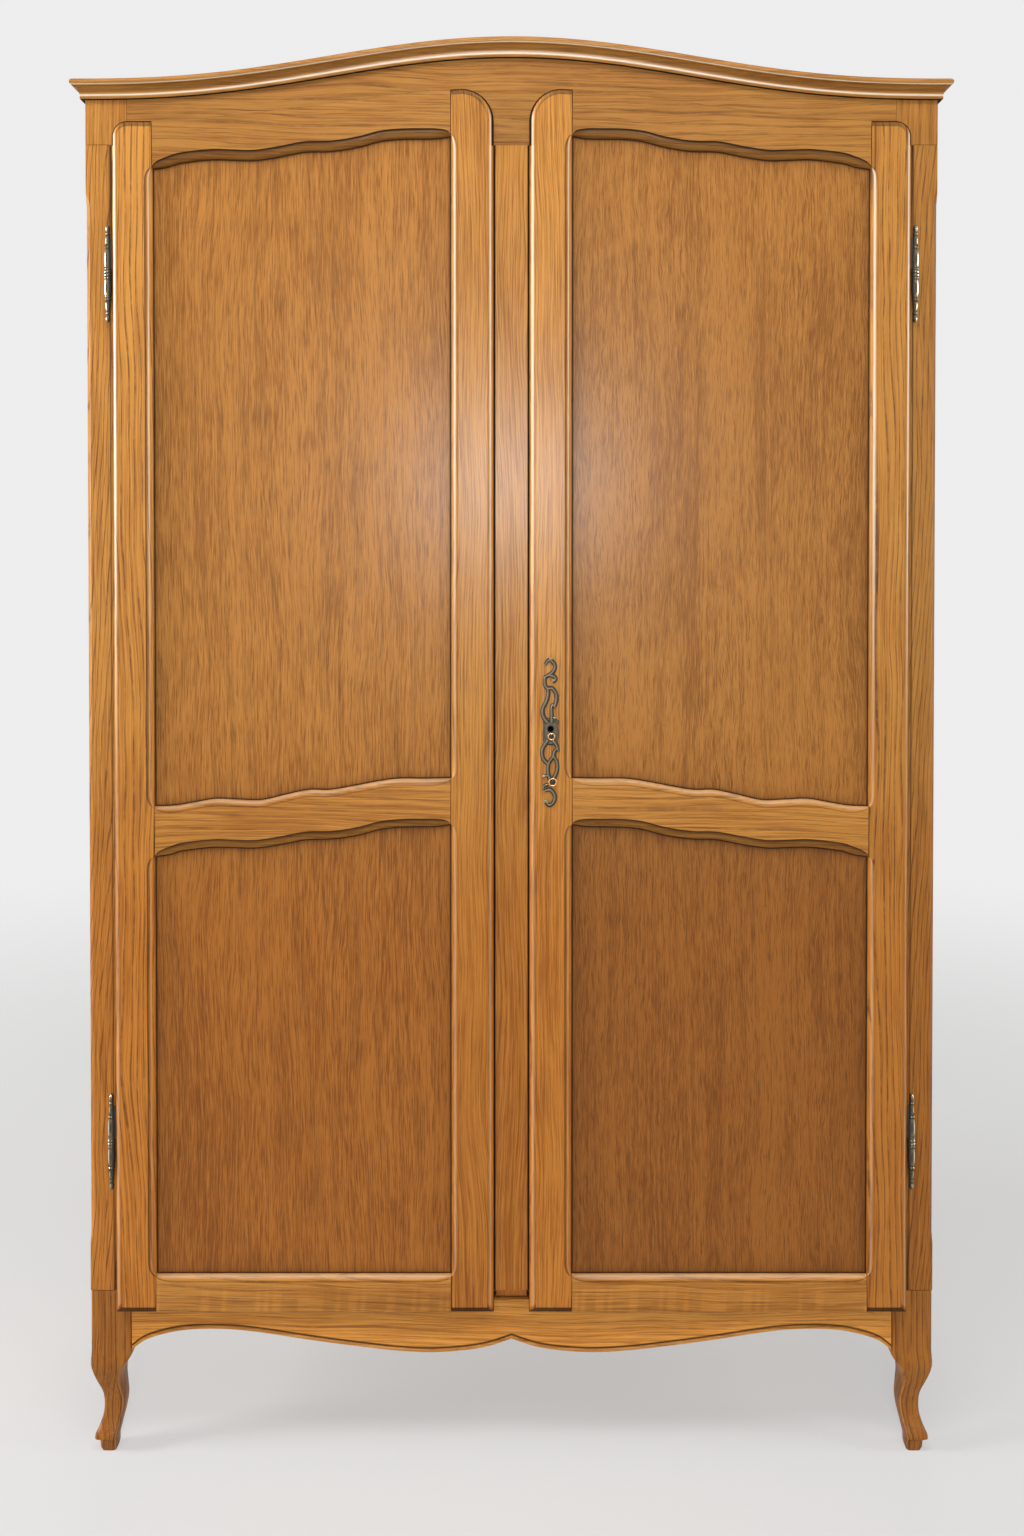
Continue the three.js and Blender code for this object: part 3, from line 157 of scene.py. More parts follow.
class WardrobeSizes(bpy.types.PropertyGroup):
    """Sizes of the finished woodwork."""

    arch_power: proportion("Arch fullness", 2.7, "Power of the cosine that shapes the arch")
    door_shoulder: length("Door shoulder", 1.932, "Height of the doors where the arch starts")
    door_arch: length("Door arch", 0.0495, "Rise of the arch over the doors")
    outer_radius: length("Outer corner", 0.023, "Radius of a door's top corner beside the post")
    inner_radius: length("Inner corner", 0.046, "Radius of a door's top corner beside the centre post")
    outer_lap: length("Outer lap", 0.022, "Width of the lip that laps the post")
    inner_lap: length("Inner lap", 0.016, "Width of the lip that laps the centre post and the rails")
    edge_radius: length("Door edge", 0.009, "Radius of the rounded front edge of a door")
    rail_ease: length("Rail ease", 0.0024, "How far the top rail's edge draws in")
    moulding: length("Stile moulding", 0.01, "Width of the moulding along a stile")
    moulding_below: length("Moulding under a rail", 0.012, "Width of the moulding under a rail")
    moulding_above: length("Moulding over a rail", 0.0085, "Width of the moulding over a rail")
    moulding_step: length("Moulding step", 0.0014, "Depth of the step at the face of the door")
    stile_stop: length("Stile stop", 0.02, "Length over which a stile's moulding runs out")
    rail_stop: length("Rail stop", 0.03, "Length over which a rail's moulding runs out")
    wave: length("Wave", 0.03, "Rise of the wavy rails")
    top_rail_edge: length("Top rail edge", 1.8775, "Height of the top rail's lower edge")
    middle_rail_top: length("Middle rail top", 0.958, "Height of the middle rail's upper edge")
    middle_rail_bottom: length("Middle rail bottom", 0.8886, "Height of the middle rail's lower edge")
    bottom_rail_top: length("Bottom rail top", 0.267, "Height of the bottom rail's upper edge")
    joint_ease: length("Joint ease", 0.0004, "How far the arrises beside a joint draw back")
    arris: length("Arris", 0.0009, "Radius of the worn arrises of the carcass")
    apron_sweep: length("Apron sweep", 0.035, "Rise of the apron's scalloped edge")
    apron_bead: length("Apron bead", 0.007, "Height of the bead along the apron")
    knee: length("Knee height", 0.15, "Height of the front leg's knee")
    leg_round: length("Leg arris", 0.0055, "Radius of the leg's rounded arrises")


class WardrobeColours(bpy.types.PropertyGroup):
    """Colours of the wood and of the metal fittings."""

    frame_light: colour("Frame, light", (0.63, 0.275, 0.05), "Late wood of the frames")
    frame_dark: colour("Frame, dark", (0.4, 0.145, 0.018), "Early wood of the frames")
    panel_light: colour("Panel, light", (0.5, 0.205, 0.037), "Late wood of the panels")
    panel_dark: colour("Panel, dark", (0.285, 0.1, 0.012), "Early wood of the panels")
    inside_light: colour("Inside, light", (0.6, 0.37, 0.17), "Late wood inside")
    inside_dark: colour("Inside, dark", (0.42, 0.23, 0.085), "Early wood inside")
    # Colour that the uprights are multiplied by low down, darker and more orange
    lower_tint: colour("Aged", (0.9, 0.76, 0.56), "What is left of the colour of the uprights low down")
    pore: colour("Pore", (0.13, 0.045, 0.012), "Open pores filled with wax")
    # Black of old wax, and of the painted shade and shadow in corners, recesses and gaps
    stain: colour("Stain", (0.014, 0.005, 0.002), "Wax and stain gathered in corners")
    # Pale colour of the painted highlights along the edges
    highlighted: colour("Rubbed", (0.95, 0.81, 0.6), "Edges rubbed pale by hands and cloths")
    brass: colour("Hinge brass", (0.2, 0.165, 0.085), "Polished parts of the hinges")
    bronze: colour("Scroll bronze", (0.24, 0.2, 0.125), "Rubbed parts of the escutcheon")
    patina: colour("Patina", (0.022, 0.017, 0.011), "Hollows of the fittings")
    # Near-white colour of the painted highlights on the fittings
    glinting: colour("Polished", (0.97, 0.94, 0.86), "Flanks of the fittings that are polished bright")
    rosette: colour("Rosette brass", (0.62, 0.36, 0.16), "Rings of the escutcheon's rosettes")
    steel: colour("Lock steel", (0.34, 0.33, 0.3), "Lock and bolts")


# Shader maths


class Wire:
    """An output socket. Sums, differences, products and quotients of wires add Math nodes."""

    def __init__(self, shader, socket):
        self.shader = shader
        self.socket = socket

    def joined(self, operation, first, second):
        return self.shader.node("ShaderNodeMath", {"operation": operation}, {0: first, 1: second})

    def __add__(self, other):
        return self.joined("ADD", self, other)

    def __sub__(self, other):
        return self.joined("SUBTRACT", self, other)

    def __rsub__(self, other):
        return self.joined("SUBTRACT", other, self)

    def __mul__(self, other):
        return self.joined("MULTIPLY", self, other)

    def __truediv__(self, other):
        return self.joined("DIVIDE", self, other)

    __radd__ = __add__
    __rmul__ = __mul__

    def fraction(self):
        return self.joined("FRACT", self, 0)

    def root(self):
        return self.joined("SQRT", self, 0)


class Shader:
    """The node tree of one material, or of the world."""

    def __init__(self, name, library="materials"):
        self.made = getattr(bpy.data, library).new(name)
        self.made.use_nodes = True
        self.tree = self.made.node_tree
        self.tree.nodes.clear()

    def node(self, kind, settings=None, sockets=None, output=0):
        made = self.tree.nodes.new(kind)
        for key, value in (settings or {}).items():
            setattr(made, key, value)
        for key, value in (sockets or {}).items():
            if isinstance(value, Wire):
                self.tree.links.new(value.socket, made.inputs[key])
            else:
                made.inputs[key].default_value = value
        return Wire(self, made.outputs[output]) if made.outputs else made

    def parts(self, vector):
        made = self.node("ShaderNodeSeparateXYZ", None, {0: vector})
        return [Wire(self, made.socket.node.outputs[i]) for i in range(3)]

    def point(self, x, y, z):
        return self.node("ShaderNodeCombineXYZ", None, {0: x, 1: y, 2: z})

    def noise(self, x, y, z, detail=2.0, roughness=0.5):
        sockets = {"Vector": self.point(x, y, z), "Scale": 1.0, "Detail": detail, "Roughness": roughness}
        return self.node("ShaderNodeTexNoise", None, sockets)

    def ramp(self, value, start, end, first=0.0, last=1.0):
        sockets = {"Value": value, "From Min": start, "From Max": end, "To Min": first, "To Max": last}
        return self.node("ShaderNodeMapRange", {"interpolation_type": "SMOOTHSTEP"}, sockets)

    def mix(self, factor, first, second, blend="MIX"):
        settings = {"data_type": "RGBA", "blend_type": blend}
        return self.node("ShaderNodeMix", settings, {0: factor, 6: first, 7: second}, output=2)

    def finish(self, sockets):
        surface = self.node("ShaderNodeBsdfPrincipled", None, sockets)
        self.node("ShaderNodeOutputMaterial", None, {"Surface": surface})
        return self.made


def rgba(value):
    return (*value, 1.0)


# Oak


def woods(colours):
    """The light and the dark colour of each kind of wood."""
    return {
        "frame": (colours.frame_light, colours.frame_dark),
        "panel": (colours.panel_light, colours.panel_dark),
        "inside": (colours.inside_light, colours.inside_dark),
    }


Grain = namedtuple("Grain", "along across")
GRAINS = {
    "upright": Grain((0, 0, 1), (1, 0, 0)),
    "level": Grain((1, 0, 0), (0, 0, 1)),
    "side_upright": Grain((0, 0, 1), (0, 1, 0)),
    "side_level": Grain((0, 1, 0), (0, 0, 1)),
    "flat": Grain((1, 0, 0), (0, 1, 0)),
}

# How a board was sawn: slant and width of its growth rings, strength of its ring lines and of its fibre,
# fibres to a metre along it, and strength of its curl
Figure = namedtuple("Figure", "slant ring lines fibre run curl")
PLAIN = Figure(0.012, 0.0092, 1.0, 0.4, 12, 0.0)
SLANTED = Figure(-0.07, 0.0074, 1.0, 0.45, 12, 0.0)
CALM = Figure(0.02, 0.0125, 0.6, 0.45, 12, 0.0)
FINE = Figure(0.01, 0.0052, 0.5, 0.65, 11, 0.1)
SMOOTH = Figure(0.01, 0.0072, 0.3, 0.45, 14, 0.0)
CATHEDRAL = Figure(0.03, 0.024, 0.3, 0.8, 26, 0.15)
QUARTERED = Figure(0.02, 0.012, 0.12, 0.68, 34, 1.0)

# Patterns in the wood: waves to a metre along the grain, across it and through the board, then how fine
# the pattern is. Where it isn't followed through the board, a seed takes that place.
Pattern = namedtuple("Pattern", "along across through detail roughness")
BEND = Pattern(1.9, 6, 1, 2.0, 0.5)
WOBBLE = Pattern(16, 60, 12, 2.0, 0.5)
SWIRL = Pattern(48, 70, 30, 2.0, 0.5)
DRIFT = Pattern(1.3, 40, 1, 2.0, 0.5)
BREAKS = Pattern(22, 0.7, 1, 3.0, 0.75)
FIBRES = Pattern(12, 860, 600, 3.0, 0.65)
STREAKS = Pattern(3.5, 260, 60, 3.0, 0.62)
BROAD_BANDS = Pattern(1.5, 11, 1, 2.0, 0.5)
CLOUDS = Pattern(9, 34, 1, 2.0, 0.5)
VEINS = Pattern(38, 120, 20, 1.0, 0.5)
VEINED_PLACES = Pattern(30, 38, 1, 1.0, 0.5)

# How far, in metres, the rings bend and wobble and the fibres swirl, and how far more where they curl
BEND_REACH = 0.05
WOBBLE_REACH = 0.0026
SWIRL_REACH = 0.0008
CURL_ACROSS = 0.0045
CURL_ALONG = 0.008

# How far the growth rings lean through a board, and by how many rings they drift
RING_TILT = 0.55
RING_DRIFT = 2.2

# How light the wood is in the middle, and what each pattern adds to it
TONE = 0.58
FIBRE_TONE = 4.8
STREAK_TONE = 1.4
BAND_TONE = 1.2
CLOUD_TONE = 0.8

# Strength of the dark lines of the rings, of the pores and of the veins, and the curl that shows veins
LINE_STRENGTH = 0.8
PORE_STRENGTH = 0.5
VEIN_STRENGTH = 0.6
VEINED = 0.5

# Roughness of waxed oak and of the bare oak inside, and what pores, streaks, old wax and painted shade add
# to it
WAXED_GLOSS = 0.46
BARE_GLOSS = 0.65
PORE_ROUGHNESS = 0.1
STREAK_ROUGHNESS = 0.1
DIRT_AND_SHADING_ROUGHNESS = 0.3

# Coat of wax, where the wood is clean and what a painted highlight adds to it, and depth of the relief of
# the pores
WAX = 0.24
HIGHLIGHT_COAT = 0.5
WAX_ROUGHNESS = 0.24
WOOD_SPECULAR = 0.13
PORE_DEPTH = 0.0008
PORE_RELIEF = 0.6

# Heights between which the upright boards turn darker and more orange towards the bottom
LOWER_TINT_FROM = 1.12
LOWER_TINT_BELOW = 0.72

# Heights between which the painted highlights on the edges grow paler, and how pale they are below and
# above
HIGHLIGHT_FROM = 1.05
HIGHLIGHT_ABOVE = 1.5
HIGHLIGHT_RANGE = (0.2, 0.88)


def board_axes(shader, grain, offset):
    """Coordinates along the grain, across it and through the board."""
    along, across = Vector(GRAINS[grain].along), Vector(GRAINS[grain].across)
    turn = Matrix((along, across, along.cross(across))).to_euler()
    place = shader.node("ShaderNodeTexCoord", output=3)
    sockets = {"Vector": place, "Location": offset, "Rotation": turn}
    return shader.parts(shader.node("ShaderNodeMapping", None, sockets))


def figured(shader, pattern, along, across, through):
    """A pattern in the wood, from 0 to 1."""
    place = (along * pattern.along, across * pattern.across, through * pattern.through)
    return shader.noise(*place, detail=pattern.detail, roughness=pattern.roughness)


Sawn = namedtuple("Sawn", "along side through run strand")


def sawn_board(shader, grain, figure, seed):
    """Places in a board: along it, across its rings and through it, then along and across its fibres."""
    offset = (seed * 1.37 % 5, (seed * 0.071 % 0.12) - 0.06, seed * 0.53 % 3)
    along, across, through = board_axes(shader, grain, offset)
    bend = figured(shader, BEND, along, across, seed) - 0.5
    wobble = figured(shader, WOBBLE, along, across, through) - 0.5
    side = across + through * RING_TILT + bend * BEND_REACH + wobble * WOBBLE_REACH
    swirl = figured(shader, SWIRL, along, side, through) - 0.5
    strand = side + swirl * (SWIRL_REACH + CURL_ACROSS * figure.curl)
    run = along + swirl * (CURL_ALONG * figure.curl)
    return Sawn(along, side, through, run, strand)


def ring_lines(shader, board, figure, seed):
    """Dark broken lines where the growth rings come to the surface."""
    drift = figured(shader, DRIFT, board.along, board.side, seed + 2) - 0.5
    ring = (board.side + board.along * figure.slant) / figure.ring + drift * RING_DRIFT
    phase = ring.fraction()
    line = shader.ramp(phase, 0.0, 0.06, 0.0, 1.0) * shader.ramp(phase, 0.1, 0.32, 1.0, 0.0)
    breaks = figured(shader, BREAKS, board.along, ring, seed + 6)
    return line * shader.ramp(breaks, 0.36, 0.6, 0.3, 1.0) * figure.lines


def curl_veins(shader, board, figure, seed):
    """Fine crooked veins, gathered in places, on a board sawn through its rays."""
    vein = figured(shader, VEINS, board.run, board.strand, board.through) - 0.5
    vein = shader.ramp(vein * vein, 0.0, 0.0009, 1.0, 0.0)
    places = figured(shader, VEINED_PLACES, board.along, board.side, seed + 12)
    return vein * shader.ramp(places, 0.56, 0.7) * (VEIN_STRENGTH * figure.curl)


def wood_tone(shader, board, figure, seed, dash, streak):
    """How light the wood is, from its single fibres to broad clouds."""
    band = figured(shader, BROAD_BANDS, board.along, board.side, seed + 9)
    cloud = figured(shader, CLOUDS, board.along, board.side, seed + 15)
    tone = TONE + (0.5 - dash) * (FIBRE_TONE * figure.fibre) + (streak - 0.5) * STREAK_TONE
    return tone + (band - 0.5) * BAND_TONE + (cloud - 0.5) * CLOUD_TONE


def oak(name, wood, grain, figure, seed, colours, shade=1.0):
    """Oak with growth rings, open pores and soft broad colour, dark where old wax gathers and where shade
    and shadow are painted, and pale where highlights are painted.
    """
    shader = Shader(name)
    tones = (*woods(colours)[wood], colours.pore)
    light, dark, pore = (rgba([part * shade for part in tone]) for tone in tones)
    board = sawn_board(shader, grain, figure, seed)
    line = ring_lines(shader, board, figure, seed)
    fibres = FIBRES._replace(along=figure.run)
    dash = figured(shader, fibres, board.run, board.strand, board.through)
    streak = figured(shader, STREAKS, board.along, board.side, board.through)
    pores = shader.ramp(dash, 0.56, 0.72)
    tone = wood_tone(shader, board, figure, seed, dash, streak)
    tint = shader.mix(shader.ramp(tone, 0.0, 1.0), dark, light)
    if figure.curl > VEINED:
        pores = pores + curl_veins(shader, board, figure, seed)
    tint = shader.mix(pores * (PORE_STRENGTH * figure.fibre), tint, pore)
    tint = shader.mix(line * LINE_STRENGTH, tint, pore)
    # Above zero the attribute paints old wax, shade and shadow dark; below zero it paints highlights pale
    # and thickens the coat of wax
    stain = shader.node("ShaderNodeAttribute", {"attribute_name": DIRT_AND_SHADING}, output=2)
    highlighted = shader.ramp(stain, 0.0, -1.0)
    # On the uprights: darker and more orange towards the bottom, and the painted highlights paler higher up
    if grain == "upright":
        height = shader.parts(shader.node("ShaderNodeTexCoord", output=3))[2]
        lower_tint = shader.ramp(height, LOWER_TINT_FROM, LOWER_TINT_BELOW)
        tint = shader.mix(lower_tint, tint, rgba(colours.lower_tint), blend="MULTIPLY")
        highlighted = highlighted * shader.ramp(height, HIGHLIGHT_FROM, HIGHLIGHT_ABOVE, *HIGHLIGHT_RANGE)
    tint = shader.mix(highlighted, tint, rgba(colours.highlighted))
    tint = shader.mix(stain, tint, rgba(colours.stain))
    relief = (dash + pores * 0.5 + line * 0.5) * -1.0
    sockets = {"Strength": PORE_RELIEF, "Distance": PORE_DEPTH, "Height": relief}
    rough = (BARE_GLOSS if wood == "inside" else WAXED_GLOSS) + pores * PORE_ROUGHNESS
    return shader.finish({
        "Base Color": tint, "Normal": shader.node("ShaderNodeBump", None, sockets),
        "Roughness": rough + (streak - 0.5) * STREAK_ROUGHNESS + stain * DIRT_AND_SHADING_ROUGHNESS,
        "Coat Weight": WAX - stain * WAX + highlighted * HIGHLIGHT_COAT, "Coat Roughness": WAX_ROUGHNESS,
        "Specular IOR Level": WOOD_SPECULAR,
    })


# Metal

CASTING_DEPTH = 0.0003
# Colours of the painted shadow in the keyhole
SHADOW_DARK = (0.002, 0.002, 0.002)
SHADOW_LIGHT = (0.006, 0.005, 0.004)


def metal(name, bright, colours, grain_size, gloss, mottling):
    """Old metal, dark with patina in its hollows and with painted shade, and painted bright where
    highlights are painted.
    """
    shader = Shader(name)
    place = shader.parts(shader.node("ShaderNodeTexCoord", output=3))
    scaled = [axis * grain_size for axis in place]
    mottle = shader.noise(*scaled, detail=4.0, roughness=0.65)
    stain = shader.node("ShaderNodeAttribute", {"attribute_name": DIRT_AND_SHADING}, output=2)
    # Dark where the attribute is high, with patina and painted shade, and the painted highlight colour
    # where it is below zero
    darkness = shader.ramp(stain + (mottle - 0.5) * mottling, 0.0, 1.0)
    shade = shader.mix(darkness, rgba(bright), rgba(colours.patina))
    shade = shader.mix(shader.ramp(stain, 0.0, -1.0), shade, rgba(colours.glinting))
    sockets = {"Strength": 0.3, "Distance": CASTING_DEPTH, "Height": mottle}
    return shader.finish({
        "Base Color": shade, "Metallic": 1.0 - darkness * 0.85, "Roughness": gloss + darkness * 0.4,
        "Normal": shader.node("ShaderNodeBump", None, sockets),
    })


def shadow_black(name, grain_size):
    """A black, lightless surface: painted shadow in the mouth of the lock."""
    shader = Shader(name)
    place = shader.parts(shader.node("ShaderNodeTexCoord", output=3))
    mottle = shader.noise(*[axis * grain_size for axis in place])
    shade = shader.mix(mottle, rgba(SHADOW_DARK), rgba(SHADOW_LIGHT))
    return shader.finish({"Base Color": shade, "Roughness": 1.0, "Specular IOR Level": 0.0})


# Meshes

# Angles at which two faces count as one, as a sharp arris and as a smooth surface
FLAT_ANGLE = math.radians(0.5)
SHARP_ANGLE = math.radians(25)
SMOOTH_ANGLE = math.radians(35)

# Area and number of corners from which a face stays flat
BROAD_FACE = 0.0003
MANY_CORNERS = 9


def welded(shape):
    """A closed shape with its doubles merged and its faces turned outwards."""
    bmesh.ops.remove_doubles(shape, verts=shape.verts, dist=WELD)
    bmesh.ops.recalc_face_normals(shape, faces=shape.faces)
    return shape


def skin(rings):
    """A closed skin over rings of equally many points (x, y, z, how dark or pale), from a grid with a row a
    ring.
    """
    rows, columns = len(rings) - 1, len(rings[0])
    shape = bmesh.new()
    bmesh.ops.create_grid(shape, x_segments=rows, y_segments=columns, size=0.5)
    layer = shape.verts.layers.float.new(DIRT_AND_SHADING)
    for vertex in shape.verts:
        row = round((vertex.co.x + 0.5) * rows)
        column = round((vertex.co.y + 0.5) * columns)
        x, y, z, stain = rings[row][column % columns]
        vertex.co = (x, y, z)
        vertex[layer] = stain
    bmesh.ops.remove_doubles(shape, verts=shape.verts, dist=WELD)
    edges = [edge for edge in shape.edges if edge.is_boundary]
    bmesh.ops.holes_fill(shape, edges=edges, sides=0)
    bmesh.ops.recalc_face_normals(shape, faces=shape.faces)
    return shape


def mirrored(shape):
    bmesh.ops.scale(shape, vec=(-1, 1, 1), verts=shape.verts)
    bmesh.ops.reverse_faces(shape, faces=shape.faces)
    return shape


def bevelled(shape, edges, width):
    bmesh.ops.bevel(
        shape, geom=edges, offset=width, offset_type="OFFSET", segments=2, profile=0.5, affect="EDGES",
        clamp_overlap=True, material=-1,
    )
    return shape


def solid_copy(node, arris):
    """A copy of a solid of the frame with its flat faces whole and its outer arrises softened."""
    shape = bmesh.new()
    shape.from_mesh(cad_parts[node].data)
    shape.verts.layers.float.new(DIRT_AND_SHADING)
    bmesh.ops.remove_doubles(shape, verts=shape.verts, dist=WELD)
    bmesh.ops.dissolve_limit(shape, angle_limit=FLAT_ANGLE, verts=shape.verts, edges=shape.edges)
    joined = [edge for edge in shape.edges if edge.is_manifold]
    return bevelled(shape, [edge for edge in joined if edge.calc_face_angle_signed(0) > SHARP_ANGLE], arris)


def publish(shape, name, body, material, replaced=()):
    """Turns a shape into a piece that rides on a body and wears the given material."""
    for face in shape.faces:
        face.smooth = face.calc_area() < BROAD_FACE and len(face.verts) < MANY_CORNERS
    for edge in shape.edges:
        edge.smooth = edge.calc_face_angle(math.pi) < SMOOTH_ANGLE
    mesh = bpy.data.meshes.new(name)
    shape.to_mesh(mesh)
    shape.free()
    mesh.materials.append(material)
    piece = bpy.data.objects.new(name, mesh)
    bpy.context.scene.collection.objects.link(piece)
    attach(piece, body)
    if replaced:
        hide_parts(*replaced)
    return piece


def even(steps):
    return [i / steps for i in range(steps + 1)]


def smoothed(table, u, column=1):
    """A smooth curve through a column of a table, read at u."""
    last = len(table) - 1
    i = 0
    while i < last - 1 and u > table[i + 1][0]:
        i += 1

    def slope(k):
        before, after = table[max(k - 1, 0)], table[min(k + 1, last)]
        return (after[column] - before[column]) / (after[0] - before[0])

    start, end = table[i], table[i + 1]
    span = end[0] - start[0]
    t = (u - start[0]) / span
    rise = t * t * (3 - 2 * t)
    pull = t * (1 - t) * span * ((1 - t) * slope(i) - t * slope(i + 1))
    return start[column] + (end[column] - start[column]) * rise + pull


# Doors: the right one is drawn, the left one is its mirror image

# The last two fields say how dark, with painted shade and old wax, or how pale, with painted highlights, a
# door's outer edge and its moulding are
Layer = namedtuple("Layer", "lap inset part outer_y inner_y ease margin outer_stain inner_stain")
# How much darker the back of a door and its lap over the post are made
BACK_DARKENING = 0.3
LAP_DARKENING = 0.5
EDGE_STEPS = 12
CORNER_STEPS = 14
TOP_STEPS = 8
WAVE_STEPS = 60
STOP_SHARES = (0, 0.02, 0.08, 0.18, 0.32, 0.5, 0.72, 1)
FACE_MARGIN = 0.0011

# How far the painted shadow of the gap reaches over a door's rounded edge, at the rails and at the stiles,
# how it fades, and the painted shade line where the rounding meets the face
RAIL_SHADOW = 0.75
STILE_SHADOW = 0.3
SHADOW_FADE = 0.16
FACE_SHADE = 0.2

# Darkening of a stile's top end, its end grain with painted shade on its upward rounding, and of its foot,
# and how far up the foot's darkening reaches
END_GRAIN_AND_SHADE = 0.6
FOOT_DARKENING = 0.85
END_REACH = 0.008

# The painted black shadow of the gap on a door's own edge above the posts: its start, its width and how
# soon it is black
GAP_START = high("centre_post").z - 0.016
GAP_WIDTH = 0.0028
GAP_ONSET = 0.1
BLACK_SHADOW = 0.9

# How much of its rounding the bottom rail's lower edge shows
BOTTOM_EDGE_SHARE = 0.4

# How strong and how wide the painted highlight on an edge is, by the way it faces, and where round its
# curve
Rub = namedtuple("Rub", "strength reach")
UNHIGHLIGHTED = Rub(0, 1)
EDGE_HIGHLIGHTS = {"left": Rub(1.0, 0.22), "right": Rub(1.0, 0.15)}
HIGHLIGHT_MIDDLE = 0.7

# Painted shade in the mouldings beside the panels: all over, at the sight line and towards the step, and in
# the step, deeper in the step of a moulding that faces right, away from the light
MOULDING_SHADE = 0.06
SIGHT_LINE_SHADE = 0.2
STEP_SHARE = 0.7
RAIL_STEP_SHADE = 0.95
STILE_STEP_SHADE = {"left": 0.2, "right": 0.75}


def highlight_share(t, highlight):
    """How strong the painted highlight is on a rounded edge, from its side (0) to its face (1)."""
    return highlight.strength * max(1 - abs(t - HIGHLIGHT_MIDDLE) / highlight.reach, 0)


def edge_shadow(t, shadow):
    """Painted shadow along the outer edge of a door and a painted shade line at its face, from its side (0)
    to its face (1).
    """
    dark = min(max((shadow - t) / SHADOW_FADE, 0), 1)
    return dark + FACE_SHADE * max(4 * t - 3, 0) ** 2


def moulding_shade(t, step):
    """Painted shade across a moulding beside a panel, from the panel (0) to the step at the door's face
    (1).
    """
    pull, left = 1 - math.cos(t * math.pi / 2), 1 - math.sin(t * math.pi / 2)
    return MOULDING_SHADE + SIGHT_LINE_SHADE * left ** 2 + STEP_SHARE * step * pull ** 2


def door_layers(sizes, shadow=RAIL_SHADOW, step=RAIL_STEP_SHADE, edge=UNHIGHLIGHTED, moulding=UNHIGHLIGHTED):
    """Outlines of a door's frame from its back to its front, where the edges round over."""
    layers = [
        Layer(1, 0, 0, DOOR_BACK, DOOR_BACK, 0, 0, BACK_DARKENING, BACK_DARKENING),
        Layer(1, 0, 0, POST_FACE, POST_FACE, 0, 0, LAP_DARKENING, LAP_DARKENING),
        Layer(0, 0, 0, POST_FACE, POST_FACE, 0, 0, LAP_DARKENING, LAP_DARKENING),
    ]
    depth = sizes.edge_radius - sizes.moulding_step
    for t in even(EDGE_STEPS):
        angle = t * math.pi / 2
        pull, left = 1 - math.cos(angle), 1 - math.sin(angle)
        layers.append(Layer(
            0, sizes.edge_radius * pull, pull, DOOR_FRONT + sizes.edge_radius * left,
            DOOR_FRONT + sizes.moulding_step + depth * left, sizes.joint_ease * pull, 0,
            edge_shadow(t, shadow) - highlight_share(t, edge),
            moulding_shade(t, step) - highlight_share(t, moulding),
        ))
    last = layers[-1]
    layers.append(last._replace(inner_y=DOOR_FRONT, inner_stain=step))
    margin = last._replace(inset=last.inset + FACE_MARGIN, inner_y=DOOR_FRONT, margin=FACE_MARGIN)
    layers.append(margin._replace(outer_stain=0, inner_stain=0))
    return layers


def bell(sizes, x):
    """The shape of the arch, from 1 in the middle to 0 at the corners."""
    return math.cos(math.pi / 2 * min(abs(x) / ARCH_HALF, 1)) ** sizes.arch_power


def door_top(sizes, x):
    return sizes.door_shoulder + sizes.door_arch * max(bell(sizes, x) - bell(sizes, OUTER_JOINT), 0)


def rail_height(sizes, edge, x):
    """Height of a rail's edge, given as (height, table), at x."""
    return edge[0] + sizes.wave * smoothed(edge[1], (OUTER_JOINT - x) / JOINT_SPAN)


def rail_edges(sizes):
    """The sight lines of the panels, from the top rail down."""
    return {
        "top": (sizes.top_rail_edge, LOWER_EDGE_SHARES),
        "middle_upper": (sizes.middle_rail_top, UPPER_EDGE_SHARES),
        "middle_lower": (sizes.middle_rail_bottom, LOWER_EDGE_SHARES),
        "bottom": (sizes.bottom_rail_top, LEVEL_SHARES),
    }


def stop_share(distance, stop):
    """How full a moulding is at a distance from its end."""
    left = 1 - min(distance / stop, 1)
    return math.sqrt(1 - left * left)


def stopped_places(span, stop):
    """Distances along a moulding, close together where it runs out at its ends."""
    start = [share * stop for share in STOP_SHARES]
    return start + [span - place for place in start[::-1]]


Stile = namedtuple("Stile", "edge joint side radius lap figure seed")


def joint_line(layer, stile):
    """Where a stile meets the ends of its rails."""
    return stile.joint + stile.side * (HALF_GAP + layer.ease)


def stile_outline(sizes, layer, stile):
    """Points (x, z, endness) up a stile's free edge from its foot and over its top to the rail."""
    edge_inset = layer.lap * stile.lap + layer.inset
    inset = layer.lap * sizes.inner_lap + layer.inset
    corner = stile.radius - inset
    centre = stile.edge - stile.side * (edge_inset + corner)
    centre_height = door_top(sizes, centre) - inset - corner
    edge_x = stile.edge - stile.side * edge_inset
    outline = [(edge_x, DOOR_BOTTOM + inset, 0), (edge_x, DOOR_BOTTOM + inset + END_REACH, 0)]
    outline += [(edge_x, GAP_START, 0), (edge_x, GAP_START + FACE_MARGIN, GAP_ONSET)]
    for t in even(CORNER_STEPS):
        angle = t * math.pi / 2
        x = centre + stile.side * corner * math.cos(angle)
        outline.append((x, centre_height + corner * math.sin(angle), max(math.sin(angle), GAP_ONSET)))
    for t in even(TOP_STEPS)[1:]:
        x = centre + (joint_line(layer, stile) - centre) * t
        outline.append((x, door_top(sizes, x) - inset, 1))
    return outline


